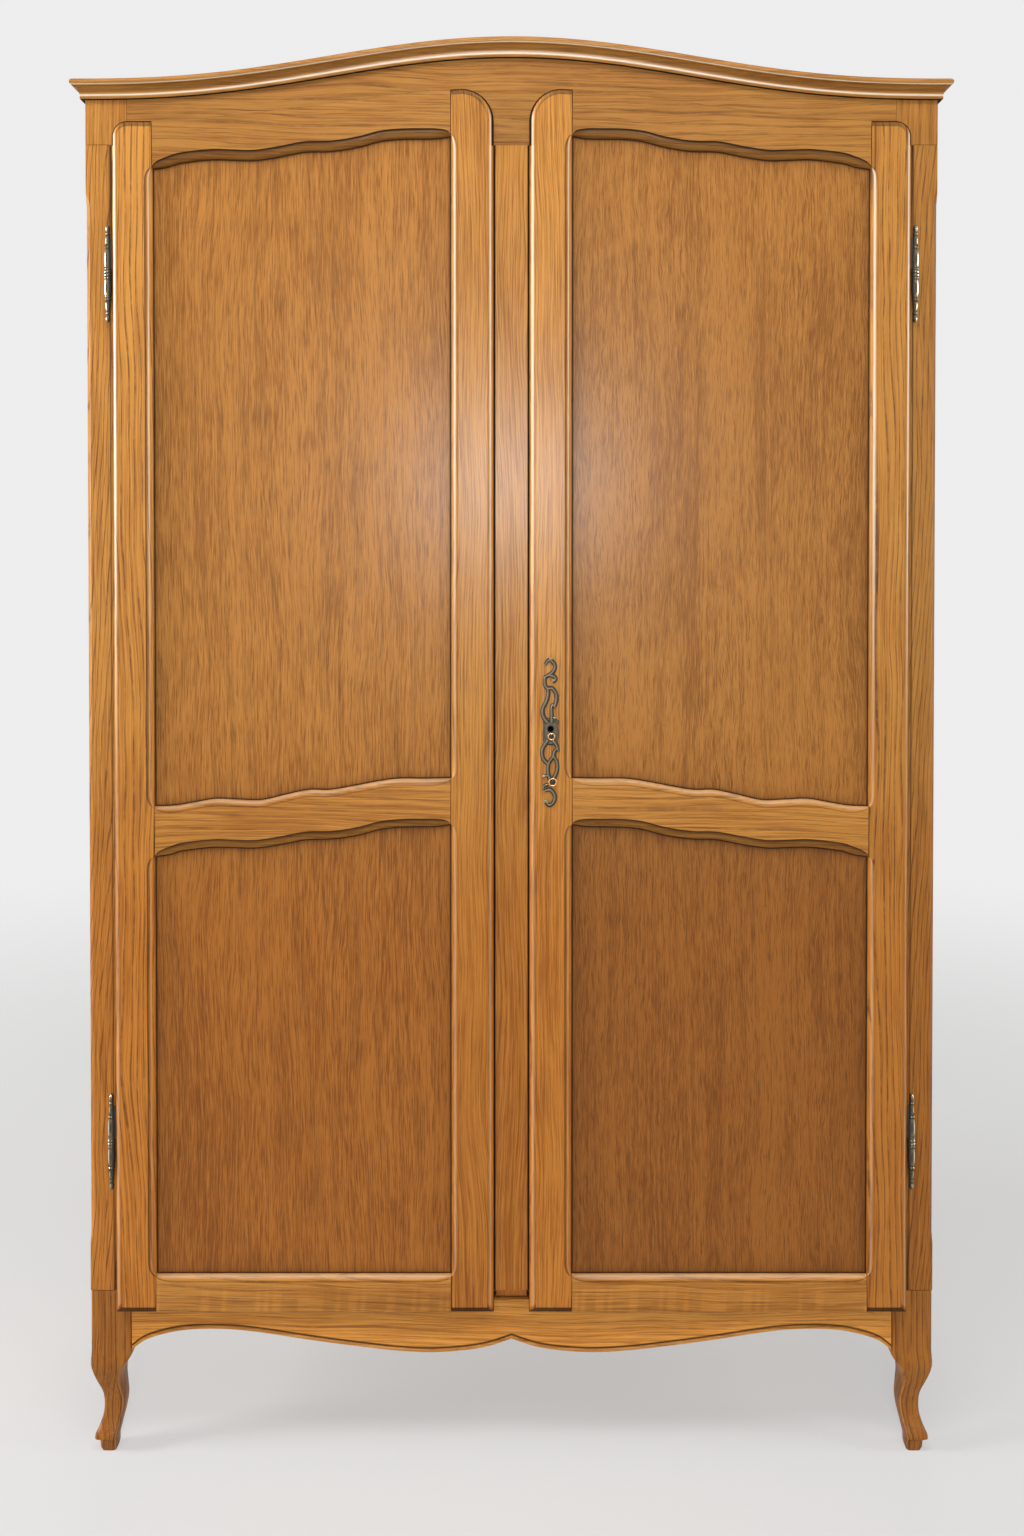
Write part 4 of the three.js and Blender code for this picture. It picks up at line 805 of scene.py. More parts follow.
def stile_mouldings(sizes, layer, stile):
    """Points of a stile's edge beside the panels, from the top rail down."""
    points = []
    edges = rail_edges(sizes)
    for top, bottom in (("top", "middle_upper"), ("middle_lower", "bottom")):
        start, end = (rail_height(sizes, edges[name], stile.joint) for name in (top, bottom))
        for place in stopped_places(start - end, sizes.stile_stop):
            run_out = stop_share(min(place, start - end - place), sizes.stile_stop)
            reach = HALF_GAP + run_out * (sizes.moulding * layer.part + layer.margin)
            x = stile.joint + stile.side * reach
            points.append((x, layer.inner_y, start - place, layer.inner_stain))
    return points


def stile_ring(sizes, layer, stile):
    """One outline of a stile, dark at its end and at its foot, with a painted black shadow in the gap over
    the posts.
    """
    edged = (0 < layer.part or layer.outer_stain > BLACK_SHADOW) and layer.margin == 0
    gapped = layer.inset < GAP_WIDTH
    ended = max(layer.outer_stain, edged * (1 if gapped else END_GRAIN_AND_SHADE))
    foot = max(layer.outer_stain, edged * FOOT_DARKENING)
    ring = []
    for x, z, endness in stile_outline(sizes, layer, stile):
        endness = min(endness / GAP_ONSET, 1) if gapped else endness
        ring.append((x, layer.outer_y, z, layer.outer_stain + (ended - layer.outer_stain) * endness))
    start = (*ring[0][:3], foot)
    end = (joint_line(layer, stile), layer.outer_y, start[2], foot)
    return [start, *ring[1:], *stile_mouldings(sizes, layer, stile), end]


# Painted shade in the moulding under a rail, and painted light on the moulding over one
UNDER_SHADE = 0.2
OVER_HIGHLIGHT = -0.42


def rail_line(sizes, layer, edge, side, width):
    """One edge of a rail from the inner stile to the outer: moulded beside a panel, or plain."""
    start = INNER_JOINT + HALF_GAP + layer.ease
    span = JOINT_SPAN - 2 * (HALF_GAP + layer.ease)
    stops = [share * sizes.rail_stop for share in STOP_SHARES]
    middle = [stops[-1] + (span - 2 * stops[-1]) * t for t in even(WAVE_STEPS)][1:-1]
    line = []
    for place in stops + middle + [span - stop for stop in stops[::-1]]:
        x = start + place
        if callable(edge):
            line.append((x, layer.outer_y, edge(x), layer.outer_stain))
            continue
        run_out = stop_share(min(place, span - place), sizes.rail_stop)
        reach = run_out * (width * layer.part + layer.margin)
        stain = layer.inner_stain + (UNDER_SHADE if side > 0 else OVER_HIGHLIGHT) * (layer.margin == 0)
        line.append((x, layer.inner_y, rail_height(sizes, edge, x) + side * reach, stain))
    return line


def rail_ring(sizes, layer, lower, upper):
    under = rail_line(sizes, layer, lower, 1, sizes.moulding_below)
    over = rail_line(sizes, layer, upper, -1, sizes.moulding_above)
    return under + over[::-1]


def rail_rings(sizes, name):
    edges = rail_edges(sizes)
    rings = []
    for layer in door_layers(sizes):
        lap = layer.lap * sizes.inner_lap
        ease = sizes.rail_ease * layer.part + layer.margin

        def top(x, drop=lap + ease):
            return door_top(sizes, x) - drop

        def bottom(x, rise=lap + min(layer.inset, sizes.edge_radius) * BOTTOM_EDGE_SHARE):
            return DOOR_BOTTOM + rise

        lower, upper = {
            "top": (edges["top"], top),
            "middle": (edges["middle_lower"], edges["middle_upper"]),
            "bottom": (bottom, edges["bottom"]),
        }[name]
        rings.append(rail_ring(sizes, layer, lower, upper))
    return rings


# Painted shade on a panel, by the distance from its sight line, and how far the panel runs into its groove
PANEL_SHADE = (
    (0, 1), (0.0013, 0.85), (0.0028, 0.36), (0.007, 0.19), (0.016, 0.08), (0.032, 0.03), (0.06, 0),
)
PANEL_TONGUE = 0.0067
TONGUE_SHADE = 0.4


def panel_ring(sizes, lower, upper, y, inset, stain):
    start, end = INNER_JOINT + inset, OUTER_JOINT - inset
    ring = []
    for edge, side, places in ((lower, 1, even(WAVE_STEPS)), (upper, -1, even(WAVE_STEPS)[::-1])):
        for t in places:
            x = start + (end - start) * t
            inside = min(max(x, INNER_JOINT), OUTER_JOINT)
            ring.append((x, y, rail_height(sizes, edge, inside) + side * inset, stain))
    return ring


def panel_rings(sizes, lower, upper):
    edges = rail_edges(sizes)
    outline = (
        (PANEL_BACK, *PANEL_SHADE[-1]), (PANEL_BACK, -PANEL_TONGUE, TONGUE_SHADE),
        (PANEL_FRONT, -PANEL_TONGUE, 1), *((PANEL_FRONT, *spot) for spot in PANEL_SHADE),
    )
    return [panel_ring(sizes, edges[lower], edges[upper], *spot) for spot in outline]


DOOR_SIDES = ("left", "right")


def door_shape(rings, side):
    shape = skin(rings)
    return mirrored(shape) if side == "left" else shape


# How light each piece is painted, as a share of the wood's colour: painted light and shade for how the
# light falls on it, with each board's own tone
SHADES = {
    "left_panel_upper": 1.0, "right_panel_upper": 0.9, "left_panel_lower": 0.93,
    "right_panel_lower": 0.74, "left_stile_outer": 1.04, "left_stile_inner": 0.89,
    "right_stile_inner": 0.98, "right_stile_outer": 0.88, "left_rail_top": 0.73, "right_rail_top": 0.69,
    "left_rail_middle": 0.93, "right_rail_middle": 0.9, "left_rail_bottom": 0.93,
    "right_rail_bottom": 0.99, "cornice_front": 0.76, "cornice_side": 0.8, "front_apron": 1.33,
    "front_leg": 0.7, "frieze": 0.71, "top_corner_right": 0.76, "top_corner_left": 0.9,
    "front_post_right": 0.77, "front_post_left": 0.95, "centre_post": 0.98,
}


def sizes_and_colours(context):
    return context.scene.wardrobe_sizes, context.scene.wardrobe_colours


def publish_door_part(rings, side, part, kind, wood, grain, figure, seed, colours):
    """A stile, rail or panel of the left or the right door."""
    node = f"{side}_{part}_{kind}"
    material = oak(f"{side} {kind} {part} oak", wood, grain, figure, seed, colours, SHADES[node])
    name = f"{side}_door_{kind}_{part}"
    publish(door_shape(rings, side), name, f"{side}_door", material, [node])


class WARDROBE_OT_stiles(bpy.types.Operator):
    """Adds the outer and inner stiles of both doors, rounded over and moulded beside the panels"""

    bl_idname = "wardrobe.stiles"
    bl_label = "Door stiles"

    def execute(self, context):
        sizes, colours = sizes_and_colours(context)
        stiles = {
            "outer": Stile(DOOR_OUTER, OUTER_JOINT, 1, sizes.outer_radius, sizes.outer_lap, PLAIN, 11),
            "inner": Stile(DOOR_INNER, INNER_JOINT, -1, sizes.inner_radius, sizes.inner_lap, FINE, 12),
        }
        for number, side in enumerate(DOOR_SIDES):
            for kind, stile in stiles.items():
                ways = DOOR_SIDES if (side == "left") == (kind == "outer") else DOOR_SIDES[::-1]
                edge, moulding = (EDGE_HIGHLIGHTS[way] for way in ways)
                layers = door_layers(sizes, STILE_SHADOW, STILE_STEP_SHADE[ways[1]], edge, moulding)
                rings = [stile_ring(sizes, layer, stile) for layer in layers]
                wood = ("frame", "upright", stile.figure, stile.seed + 3 * number)
                publish_door_part(rings, side, "stile", kind, *wood, colours)
        return {"FINISHED"}


class WARDROBE_OT_rails(bpy.types.Operator):
    """Adds the arched top rail, the wavy middle rail and the straight bottom rail of both doors"""

    bl_idname = "wardrobe.rails"
    bl_label = "Door rails"

    def execute(self, context):
        sizes, colours = sizes_and_colours(context)
        seed = 21
        for side in DOOR_SIDES:
            for kind in ("top", "middle", "bottom"):
                rings = rail_rings(sizes, kind)
                publish_door_part(rings, side, "rail", kind, "frame", "level", CALM, seed, colours)
                seed += 1
        return {"FINISHED"}


class WARDROBE_OT_panels(bpy.types.Operator):
    """Adds the upper and lower panels of both doors, with painted shade along their edges"""

    bl_idname = "wardrobe.panels"
    bl_label = "Door panels"

    def execute(self, context):
        sizes, colours = sizes_and_colours(context)
        places = (("upper", "middle_upper", "top", 36), ("lower", "bottom", "middle_lower", 37))
        for side, figure, later in (("left", CATHEDRAL, 0), ("right", QUARTERED, 4)):
            for kind, lower, upper, seed in places:
                rings = panel_rings(sizes, lower, upper)
                seed += later
                publish_door_part(rings, side, "panel", kind, "panel", "upright", figure, seed, colours)
        return {"FINISHED"}


# Cornice

FILLET_OUT = 0.006
FILLET_UP = 0.003
FILLET_EASE = 0.0006
FILLET_DARKENING = 0.3
COVE_OUT = 0.006
COVE_UP = 0.013
NOSE_RADIUS = 0.005
BACK_EASE = 0.001
CORNICE_GAP = 0.0003
CORNICE_STEPS = 96
SECTION_STEPS = 8
# Painted light along the cove and the nose, point by point: painted highlights below zero, painted shade
# above
COVE_SHADING = (0.1, -0.9, -0.1, 0.25, 0.3, 0.2, 0.12, 0.08, 0.05)
NOSE_SHADING = (0.3, 0.25, -0.75, 0, 0, 0, 0, 0, 0)


def cornice_section():
    """Points (out, up, how dark or pale) of the moulding: fillet, cove and rounded nose, with a painted
    black shadow on its underside.
    """
    out, height = POST_FACE - CORNICE_FRONT, CORNICE_TOP - CORNICE_BOTTOM
    points = [(CORNICE_GAP, 0, 1), (FILLET_OUT - FILLET_EASE, 0, 1)]
    points.append((FILLET_OUT, FILLET_EASE, FILLET_DARKENING))
    for i, t in enumerate(even(SECTION_STEPS)):
        angle = t * math.pi / 2
        up = FILLET_UP + COVE_UP * math.sin(angle)
        points.append((FILLET_OUT + COVE_OUT * (1 - math.cos(angle)), up, COVE_SHADING[i]))
    for i, t in enumerate(even(SECTION_STEPS)):
        angle = (t - 0.5) * math.pi
        across = out - NOSE_RADIUS + NOSE_RADIUS * math.cos(angle)
        points.append((across, height - NOSE_RADIUS + NOSE_RADIUS * math.sin(angle), NOSE_SHADING[i]))
    points += [(CORNICE_GAP + BACK_EASE, height, 0), (CORNICE_GAP, height - BACK_EASE, 0)]
    return points


def cornice_front_rings(sizes):
    def ring(x, mitre):
        points = []
        for out, up, stain in cornice_section():
            place = x + math.copysign(mitre * out, x)
            top = CORNICE_TOP + ARCH_RISE * bell(sizes, place)
            points.append((place, POST_FACE - out, top - (CORNICE_TOP - CORNICE_BOTTOM) + up, stain))
        return points

    inner = [ring(HALF_WIDTH * (2 * t - 1), 0) for t in even(CORNICE_STEPS)[1:-1]]
    return [ring(-HALF_WIDTH, 1), *inner, ring(HALF_WIDTH, 1)]


def cornice_side_rings():
    gap = CORNICE_GAP * math.sqrt(2)
    start = [(HALF_WIDTH + out, POST_FACE + gap - out, CORNICE_BOTTOM + up, stain)
             for out, up, stain in cornice_section()]
    end = [(x, CORNICE_BACK, z, stain) for x, _, z, stain in start]
    return [start, end]


class WARDROBE_OT_cornice(bpy.types.Operator):
    """Adds the arched front length of the cornice and its two straight returns"""

    bl_idname = "wardrobe.cornice"
    bl_label = "Cornice"

    def execute(self, context):
        sizes, colours = sizes_and_colours(context)
        material = oak("cornice oak", "frame", "level", SMOOTH, 41, colours, SHADES["cornice_front"])
        front = skin(cornice_front_rings(sizes))
        publish(front, "arched_cornice", "carcass", material, ["cornice_front"])
        shade = SHADES["cornice_side"]
        material = oak("cornice return oak", "frame", "side_level", SMOOTH, 42, colours, shade)
        for side in DOOR_SIDES:
            shape = door_shape(cornice_side_rings(), side)
            name = f"cornice_return_{side}"
            publish(shape, name, "carcass", material, [f"cornice_side_{side}"])
        return {"FINISHED"}


# Apron and legs

APRON_STEPS = 64
APRON_GROOVE = 0.0016
APRON_GROOVE_HEIGHT = 0.002
APRON_EASE = 0.0006
BEAD_STEPS = 8
BEAD_START = 0.8 * math.pi
BEAD_TURN = 0.7 * math.pi


def apron_ring(sizes, x):
    """Section of the apron at x, with its groove and bead, and painted shade in the groove, beside the bead
    and along its top edge.
    """
    edge = APRON_LOW + sizes.apron_sweep * smoothed(APRON_EDGE_SHARES, min(abs(x) / APRON_HALF, 1))
    radius = sizes.apron_bead / 2
    groove = edge + sizes.apron_bead
    ring = [
        (x, APRON_BACK, APRON_TOP, 0.2),
        (x, POST_FACE + APRON_EASE, APRON_TOP, 0.5),
        (x, POST_FACE, APRON_TOP - APRON_EASE, 0.3),
        (x, POST_FACE, groove + APRON_GROOVE_HEIGHT + FACE_MARGIN, 0),
        (x, POST_FACE, groove + APRON_GROOVE_HEIGHT, 0.45),
        (x, POST_FACE + APRON_GROOVE, groove, 0.95),
    ]
    for t in even(BEAD_STEPS):
        angle = BEAD_START + BEAD_TURN * t
        y, z = POST_FACE + radius * (1 + math.cos(angle)), edge + radius * (1 + math.sin(angle))
        ring.append((x, y, z, 0.5 * (1 - t) ** 3))
    return ring + [(x, APRON_BACK - BACK_EASE, edge, 0.2), (x, APRON_BACK, edge + BACK_EASE, 0.2)]


# Round a leg's arris between its inner side and its front: painted shade on the side, a painted highlight
# on the arris and a dark line beside the front
ARRIS_SHADING = (0.42, 0.3, 0.1, -0.55, 0.6, 0)
ARRIS_TOP = 0.85
ARRIS_FADE = 4
LEG_STEPS = 44
LEG_CORNER_STEPS = 5


def leg_rings(sizes, table, front, depth):
    """Sections of a leg from the floor up, each a rectangle with rounded corners."""
    rings = []
    top = (POST_BOTTOM - low("front_leg_right").z) / sizes.knee
    width = HALF_WIDTH - POST_INNER
    for t in even(LEG_STEPS):
        height = top * t
        outer, inner, forward, backward = (smoothed(table, height, column) for column in (1, 2, 3, 4))
        x = (POST_INNER + inner * width, HALF_WIDTH - outer * width)
        y = (front + forward * depth, front + (1 - backward) * depth)
        radius = sizes.leg_round
        corners = (
            (x[1] - radius, y[1] - radius, 0), (x[0] + radius, y[1] - radius, 1),
            (x[0] + radius, y[0] + radius, 2), (x[1] - radius, y[0] + radius, 3),
        )
        z = min(height * sizes.knee, POST_BOTTOM)
        fade = min(max(ARRIS_TOP - height, 0) * ARRIS_FADE, 1)
        ring = []
        for cx, cy, quarter in corners:
            for i, step in enumerate(even(LEG_CORNER_STEPS)):
                angle = (quarter + step) * math.pi / 2
                stain = ARRIS_SHADING[i] * fade if quarter == 2 else 0
                ring.append((cx + radius * math.cos(angle), cy + radius * math.sin(angle), z, stain))
        rings.append(ring)
    return rings


class WARDROBE_OT_base(bpy.types.Operator):
    """Adds the scalloped apron with its bead and the four legs"""

    bl_idname = "wardrobe.base"
    bl_label = "Apron and legs"

    def execute(self, context):
        sizes, colours = sizes_and_colours(context)
        places = [APRON_HALF * t for t in even(APRON_STEPS)]
        apron = skin([apron_ring(sizes, x) for x in [-x for x in places[:0:-1]] + places])
        material = oak("apron oak", "frame", "level", CALM, 51, colours, SHADES["front_apron"])
        publish(apron, "scalloped_apron", "carcass", material, ["front_apron"])
        material = oak("leg oak", "frame", "upright", PLAIN, 53, colours, SHADES["front_leg"])
        depth = high("front_post_right").y - POST_FACE
        legs = (
            ("cabriole_leg", "front_leg", FRONT_LEG_SHARES, POST_FACE),
            ("rear_leg", "back_leg", BACK_LEG_SHARES, low("back_post_right").y),
        )
        for side in DOOR_SIDES:
            for name, node, table, front in legs:
                shape = door_shape(leg_rings(sizes, table, front, depth), side)
                publish(shape, f"{name}_{side}", "carcass", material, [f"{node}_{side}"])
        return {"FINISHED"}


# Carcass: copies of the solids with softened arrises

ONE = ("",)
PAIR = ("_right", "_left")
Board = namedtuple("Board", "name ends grain wood figure")
CARCASS = (
    Board("frieze", ONE, "level", "frame", CALM),
    Board("top_corner", PAIR, "upright", "frame", CALM),
    Board("top_side_rail", PAIR, "side_level", "frame", CALM),
    Board("top_back_rail", ONE, "level", "inside", PLAIN),
    Board("top_board", ONE, "flat", "inside", FINE),
    Board("front_post", PAIR, "upright", "frame", SLANTED),
    Board("back_post", PAIR, "side_upright", "frame", PLAIN),
    Board("side_panel", PAIR, "side_upright", "panel", FINE),
    Board("side_mid_rail", PAIR, "side_level", "frame", PLAIN),
    Board("centre_post", ONE, "upright", "frame", FINE),
    Board("back_panel", ONE, "upright", "inside", FINE),
    Board("side_apron", PAIR, "side_level", "frame", PLAIN),
    Board("base_back_rail", ONE, "level", "inside", PLAIN),
    Board("floor_board", ONE, "flat", "inside", FINE),
    Board("hat_shelf", ONE, "flat", "inside", FINE),
    Board("shelf_cleat", PAIR, "side_level", "inside", FINE),
    Board("hanging_rail", ONE, "level", "inside", FINE),
)

# Painted shadow on the posts beside the doors: the door's edge, how far the shadow reaches and how dark it
# is
Gap = namedtuple("Gap", "edge reach stain")
GAPS = {
    "centre_post": (Gap(DOOR_INNER, -0.0031, 1.0), Gap(-DOOR_INNER, 0.0031, 1.0)),
    "front_post_right": (Gap(DOOR_OUTER, 0.0066, 0.85),),
    "front_post_left": (Gap(-DOOR_OUTER, -0.0066, 0.85),),
}
GAP_SHARES = ((-0.4, 1), (0.6, 1), (1, 0))


def with_gaps(shape, gaps):
    """Paints lines of shadow on the front of a post where the doors close against it."""
    layer = shape.verts.layers.float[DIRT_AND_SHADING]
    for edge, reach, stain in gaps:
        for place, strength in GAP_SHARES:
            cut = bmesh.ops.bisect_plane(
                shape, geom=shape.verts[:] + shape.edges[:] + shape.faces[:], dist=WELD,
                plane_co=(edge + place * reach, 0, 0), plane_no=(1, 0, 0),
            )
            for item in cut["geom_cut"]:
                if isinstance(item, bmesh.types.BMVert) and item.co.y < POST_FACE + WELD:
                    item[layer] = stain * strength
    return shape


class WARDROBE_OT_carcass(bpy.types.Operator):
    """Adds the posts, rails, boards and panels of the carcass with softened arrises"""

    bl_idname = "wardrobe.carcass"
    bl_label = "Carcass"

    def execute(self, context):
        sizes, colours = sizes_and_colours(context)
        seed = 61
        for board in CARCASS:
            for end in board.ends:
                node = board.name + end
                shade = SHADES.get(node, 1.0)
                material = oak(f"{node} oak", board.wood, board.grain, board.figure, seed, colours, shade)
                shape = with_gaps(solid_copy(node, sizes.arris), GAPS.get(node, ()))
                publish(shape, f"{node}_finished", "carcass", material, [node])
                seed += 1
        return {"FINISHED"}


# Fittings

HINGE_OUT = 0.007
HINGE_RADIUS = 0.0054
HINGE_HALF = 0.07
HINGE_GAP = 0.00015
PIN_RADIUS = 0.0022
BORE_RADIUS = 0.0025
PIN_LENGTH = 0.034
BORE_LENGTH = 0.035
LEAF_HALF = 0.001
LEAF_HEIGHT = 0.046
LEAF_START = 0.006
LEAF_REACH = 0.02
LEAF_ARRIS = 0.0003
PIN_STAIN = 0.5
FINIAL_STAIN = 0.2
TURNED_STEPS = 72
TURNED_SEGMENTS = 32

# Outline of half a hinge from its middle joint to its finial: height, radius and stain
HINGE_SHARES = (
    (0, 0.88, 0.9), (0.015, 1, 0.1), (0.05, 1, 0.1), (0.065, 0.84, 1), (0.09, 0.97, 0.1), (0.115, 0.84, 1),
    (0.14, 0.86, 0.3), (0.28, 0.97, 0.15), (0.4, 0.9, 0.2), (0.48, 0.74, 0.5), (0.5, 0.7, 1),
    (0.53, 0.86, 0.1), (0.56, 0.7, 1), (0.62, 0.68, 0.3), (0.7, 0.62, 0.2), (0.76, 0.52, 0.6),
    (0.78, 0.46, 1), (0.81, 0.6, 0.1), (0.84, 0.42, 1), (0.87, 0.44, 0.4), (0.92, 0.58, 0.05),
    (0.96, 0.48, 0.1), (0.985, 0.28, 0.2), (1, 0.02, 0.2),
)
# Where a hinge is pierced by flutes, in shares of its half height, and how deep they go
FLUTES = ((0.15, 0.46), (0.58, 0.75))
FLUTE_DEPTH = 0.3
FLUTE_COUNT = 4


def turned(profile, place):
    """A turned solid from points (radius, height, stain) that start and end on its upright axis."""
    shape = bmesh.new()
    layer = shape.verts.layers.float.new(DIRT_AND_SHADING)
    points = []
    for radius, height, stain in profile:
        point = shape.verts.new(Vector((radius, 0, height)) + Vector(place))
        point[layer] = stain
        points.append(point)
    edges = [shape.edges.new(pair) for pair in zip(points, points[1:])]
    bmesh.ops.spin(
        shape, geom=points + edges, cent=place, axis=(0, 0, 1), angle=2 * math.pi,
        steps=TURNED_SEGMENTS, use_merge=True, use_duplicate=False,
    )
    return welded(shape)


def fluted(shape, place):
    """Sinks flutes into a turned hinge, dark at their bottoms."""
    layer = shape.verts.layers.float[DIRT_AND_SHADING]
    for vertex in shape.verts:
        reach = Vector((vertex.co.x - place[0], vertex.co.y - place[1]))
        along = abs(vertex.co.z - place[2]) / HINGE_HALF
        for start, end in FLUTES:
            if start < along < end and reach.length > BORE_RADIUS:
                sunk = math.sqrt(math.sin(math.pi * (along - start) / (end - start)))
                turn = math.atan2(reach.x, -reach.y)
                sunk *= max(math.cos(FLUTE_COUNT * turn), 0) ** 2
                vertex.co.x -= reach.x * sunk * FLUTE_DEPTH
                vertex.co.y -= reach.y * sunk * FLUTE_DEPTH
                vertex[layer] = max(vertex[layer], sunk)
    return shape


# Where round a hinge the painted shade and the painted highlight lie, measured from its front, and how
# strong the highlight is
SHADED_TURN = math.radians(-6)
SHADED_FADE = math.radians(22)
GLINT_TURN = math.radians(58)
GLINT_FADE = math.radians(36)
GLINT_STRENGTH = 2.2


def shaded_and_glinting(shape, place):
    """Painted shade where a hinge turns to its door, and a painted highlight where it turns away from it.
    """
    layer = shape.verts.layers.float[DIRT_AND_SHADING]
    for vertex in shape.verts:
        turn = math.atan2(vertex.co.x - place[0], place[1] - vertex.co.y)
        darkness = min(max((SHADED_TURN - turn) / SHADED_FADE, 0), 1)
        glint = max(1 - abs(turn - GLINT_TURN) / GLINT_FADE, 0)
        vertex[layer] = max(vertex[layer], darkness) - GLINT_STRENGTH * glint * (1 - vertex[layer])
    return shape


def leaf(corner, far_corner):
    """A hinge's leaf between two corners, painted black as shade."""
    shape = bmesh.new()
    bmesh.ops.create_cube(shape, size=1)
    layer = shape.verts.layers.float.new(DIRT_AND_SHADING)
    for vertex in shape.verts:
        vertex[layer] = 1
    corner, far_corner = Vector(corner), Vector(far_corner)
    bmesh.ops.scale(shape, vec=far_corner - corner, verts=shape.verts)
    bmesh.ops.translate(shape, vec=(corner + far_corner) / 2, verts=shape.verts)
    return bevelled(shape, shape.edges, LEAF_ARRIS)


def gathered(*shapes):
    """Several closed shapes as one."""
    whole = bmesh.new()
    whole.verts.layers.float.new(DIRT_AND_SHADING)
    for shape in shapes:
        mesh = bpy.data.meshes.new("part")
        shape.to_mesh(mesh)
        shape.free()
        whole.from_mesh(mesh)
        bpy.data.meshes.remove(mesh)
    return whole


def hinge_outline(direction):
    """Outline of half a hinge from its middle joint to its finial, up (1) or down (-1)."""
    reach = HINGE_HALF - HINGE_GAP
    outline = []
    for u in even(TURNED_STEPS):
        radius = max(smoothed(HINGE_SHARES, u), 0) * HINGE_RADIUS
        outline.append((radius, direction * (HINGE_GAP + u * reach), smoothed(HINGE_SHARES, u, 2)))
    return outline + [(0, direction * HINGE_HALF, FINIAL_STAIN)]


def barrel(profile, place):
    return shaded_and_glinting(fluted(turned(profile, place), place), place)


def hinge_frame_half(place):
    """The lower half of a hinge with its pin and the leaf that is let into the post."""
    x, y, middle = place
    pin = [(PIN_RADIUS, -HINGE_GAP), (PIN_RADIUS, PIN_LENGTH), (0, PIN_LENGTH)]
    profile = hinge_outline(-1)[::-1] + [(*point, PIN_STAIN) for point in pin]
    top = middle - LEAF_START
    low_corner = (x - LEAF_HALF, y + PIN_RADIUS * 1.5, top - LEAF_HEIGHT)
    return gathered(barrel(profile, place), leaf(low_corner, (x + LEAF_HALF, POST_FACE + LEAF_REACH, top)))


def hinge_door_half(place):
    """The upper half of a hinge with its bore and the leaf that is let into the door."""
    x, y, middle = place
    bore = [(0, BORE_LENGTH), (BORE_RADIUS, BORE_LENGTH), (BORE_RADIUS, HINGE_GAP)]
    profile = [(*point, PIN_STAIN) for point in bore] + hinge_outline(1)
    bottom = middle + LEAF_START
    high_corner = (x - BORE_RADIUS * 1.4, y + LEAF_HALF, bottom + LEAF_HEIGHT)
    return gathered(
        barrel(profile, place), leaf((DOOR_OUTER - LEAF_REACH, y - LEAF_HALF, bottom), high_corner)
    )


# Strokes of the escutcheon: across and up in shares of its width and height, then stroke width
SCROLL_STROKES = (
    ((-0.33, 0.949, 0.12), (-0.1, 0.978, 0.15), (0.17, 0.959, 0.16), (0.26, 0.93, 0.16),
     (0.13, 0.897, 0.16), (-0.13, 0.875, 0.16), (-0.35, 0.861, 0.14)),
    ((-0.13, 0.877, 0.14), (0.04, 0.874, 0.15), (0.24, 0.866, 0.16), (0.3, 0.847, 0.15),
     (0.17, 0.834, 0.14)),
    ((-0.35, 0.861, 0.14), (-0.34, 0.815, 0.16), (-0.19, 0.79, 0.17), (0.1, 0.789, 0.16),
     (0.3, 0.758, 0.16), (0.36, 0.725, 0.16), (0.3, 0.689, 0.15), (0.23, 0.664, 0.14)),
    ((-0.19, 0.79, 0.16), (-0.14, 0.762, 0.16), (-0.19, 0.725, 0.16), (-0.33, 0.684, 0.16),
     (-0.46, 0.655, 0.16), (-0.48, 0.62, 0.17), (-0.38, 0.59, 0.18), (-0.2, 0.565, 0.2)),
    ((0.23, 0.664, 0.14), (0.1, 0.676, 0.14), (0.05, 0.646, 0.14), (0.07, 0.605, 0.16),
     (0.08, 0.565, 0.2)),
    ((-0.2, 0.436, 0.2), (-0.36, 0.41, 0.17), (-0.5, 0.378, 0.16), (-0.48, 0.333, 0.16),
     (-0.3, 0.3, 0.17), (-0.12, 0.286, 0.17)),
    ((0.2, 0.436, 0.2), (0.38, 0.405, 0.16), (0.45, 0.372, 0.12)),
    ((0.4, 0.392, 0.13), (0.22, 0.364, 0.15), (0.16, 0.335, 0.16), (0, 0.31, 0.15),
     (-0.12, 0.29, 0.15)),
    ((-0.13, 0.29, 0.16), (-0.16, 0.255, 0.16), (-0.15, 0.225, 0.16), (-0.05, 0.178, 0.18)),
    ((0.16, 0.338, 0.15), (0.32, 0.312, 0.15), (0.41, 0.275, 0.15), (0.36, 0.232, 0.16),
     (0.14, 0.178, 0.18)),
    ((-0.07, 0.196, 0.12), (-0.24, 0.206, 0.1), (-0.4, 0.204, 0.1)),
    ((-0.2, 0.146, 0.16), (-0.32, 0.142, 0.14), (-0.45, 0.13, 0.1)),
    ((-0.38, 0.106, 0.12), (-0.2, 0.112, 0.15), (-0.02, 0.114, 0.17), (0.18, 0.092, 0.17),
     (0.26, 0.062, 0.16), (0.18, 0.03, 0.16), (-0.04, 0.01, 0.16), (-0.22, 0.02, 0.15),
     (-0.28, 0.042, 0.14)),
)

# Bosses of the escutcheon: across, up and radius, and the outline of the plate round its keyhole
SCROLL_ROUNDS = (
    (0, 0.985, 0.1), (0.17, 0.842, 0.09), (-0.4, 0.204, 0.12), (-0.27, 0.042, 0.1), (0.24, 0.592, 0.11),
    (-0.34, 0.035, 0.08), (-0.2, 0.03, 0.08),
)
PLATE_POINTS = (
    (-0.46, 0.572), (-0.3, 0.585), (0, 0.59), (0.28, 0.585), (0.5, 0.572), (0.46, 0.53), (0.5, 0.485),
    (0.4, 0.43), (0.2, 0.412), (-0.16, 0.412), (-0.42, 0.43), (-0.48, 0.485), (-0.44, 0.53),
)
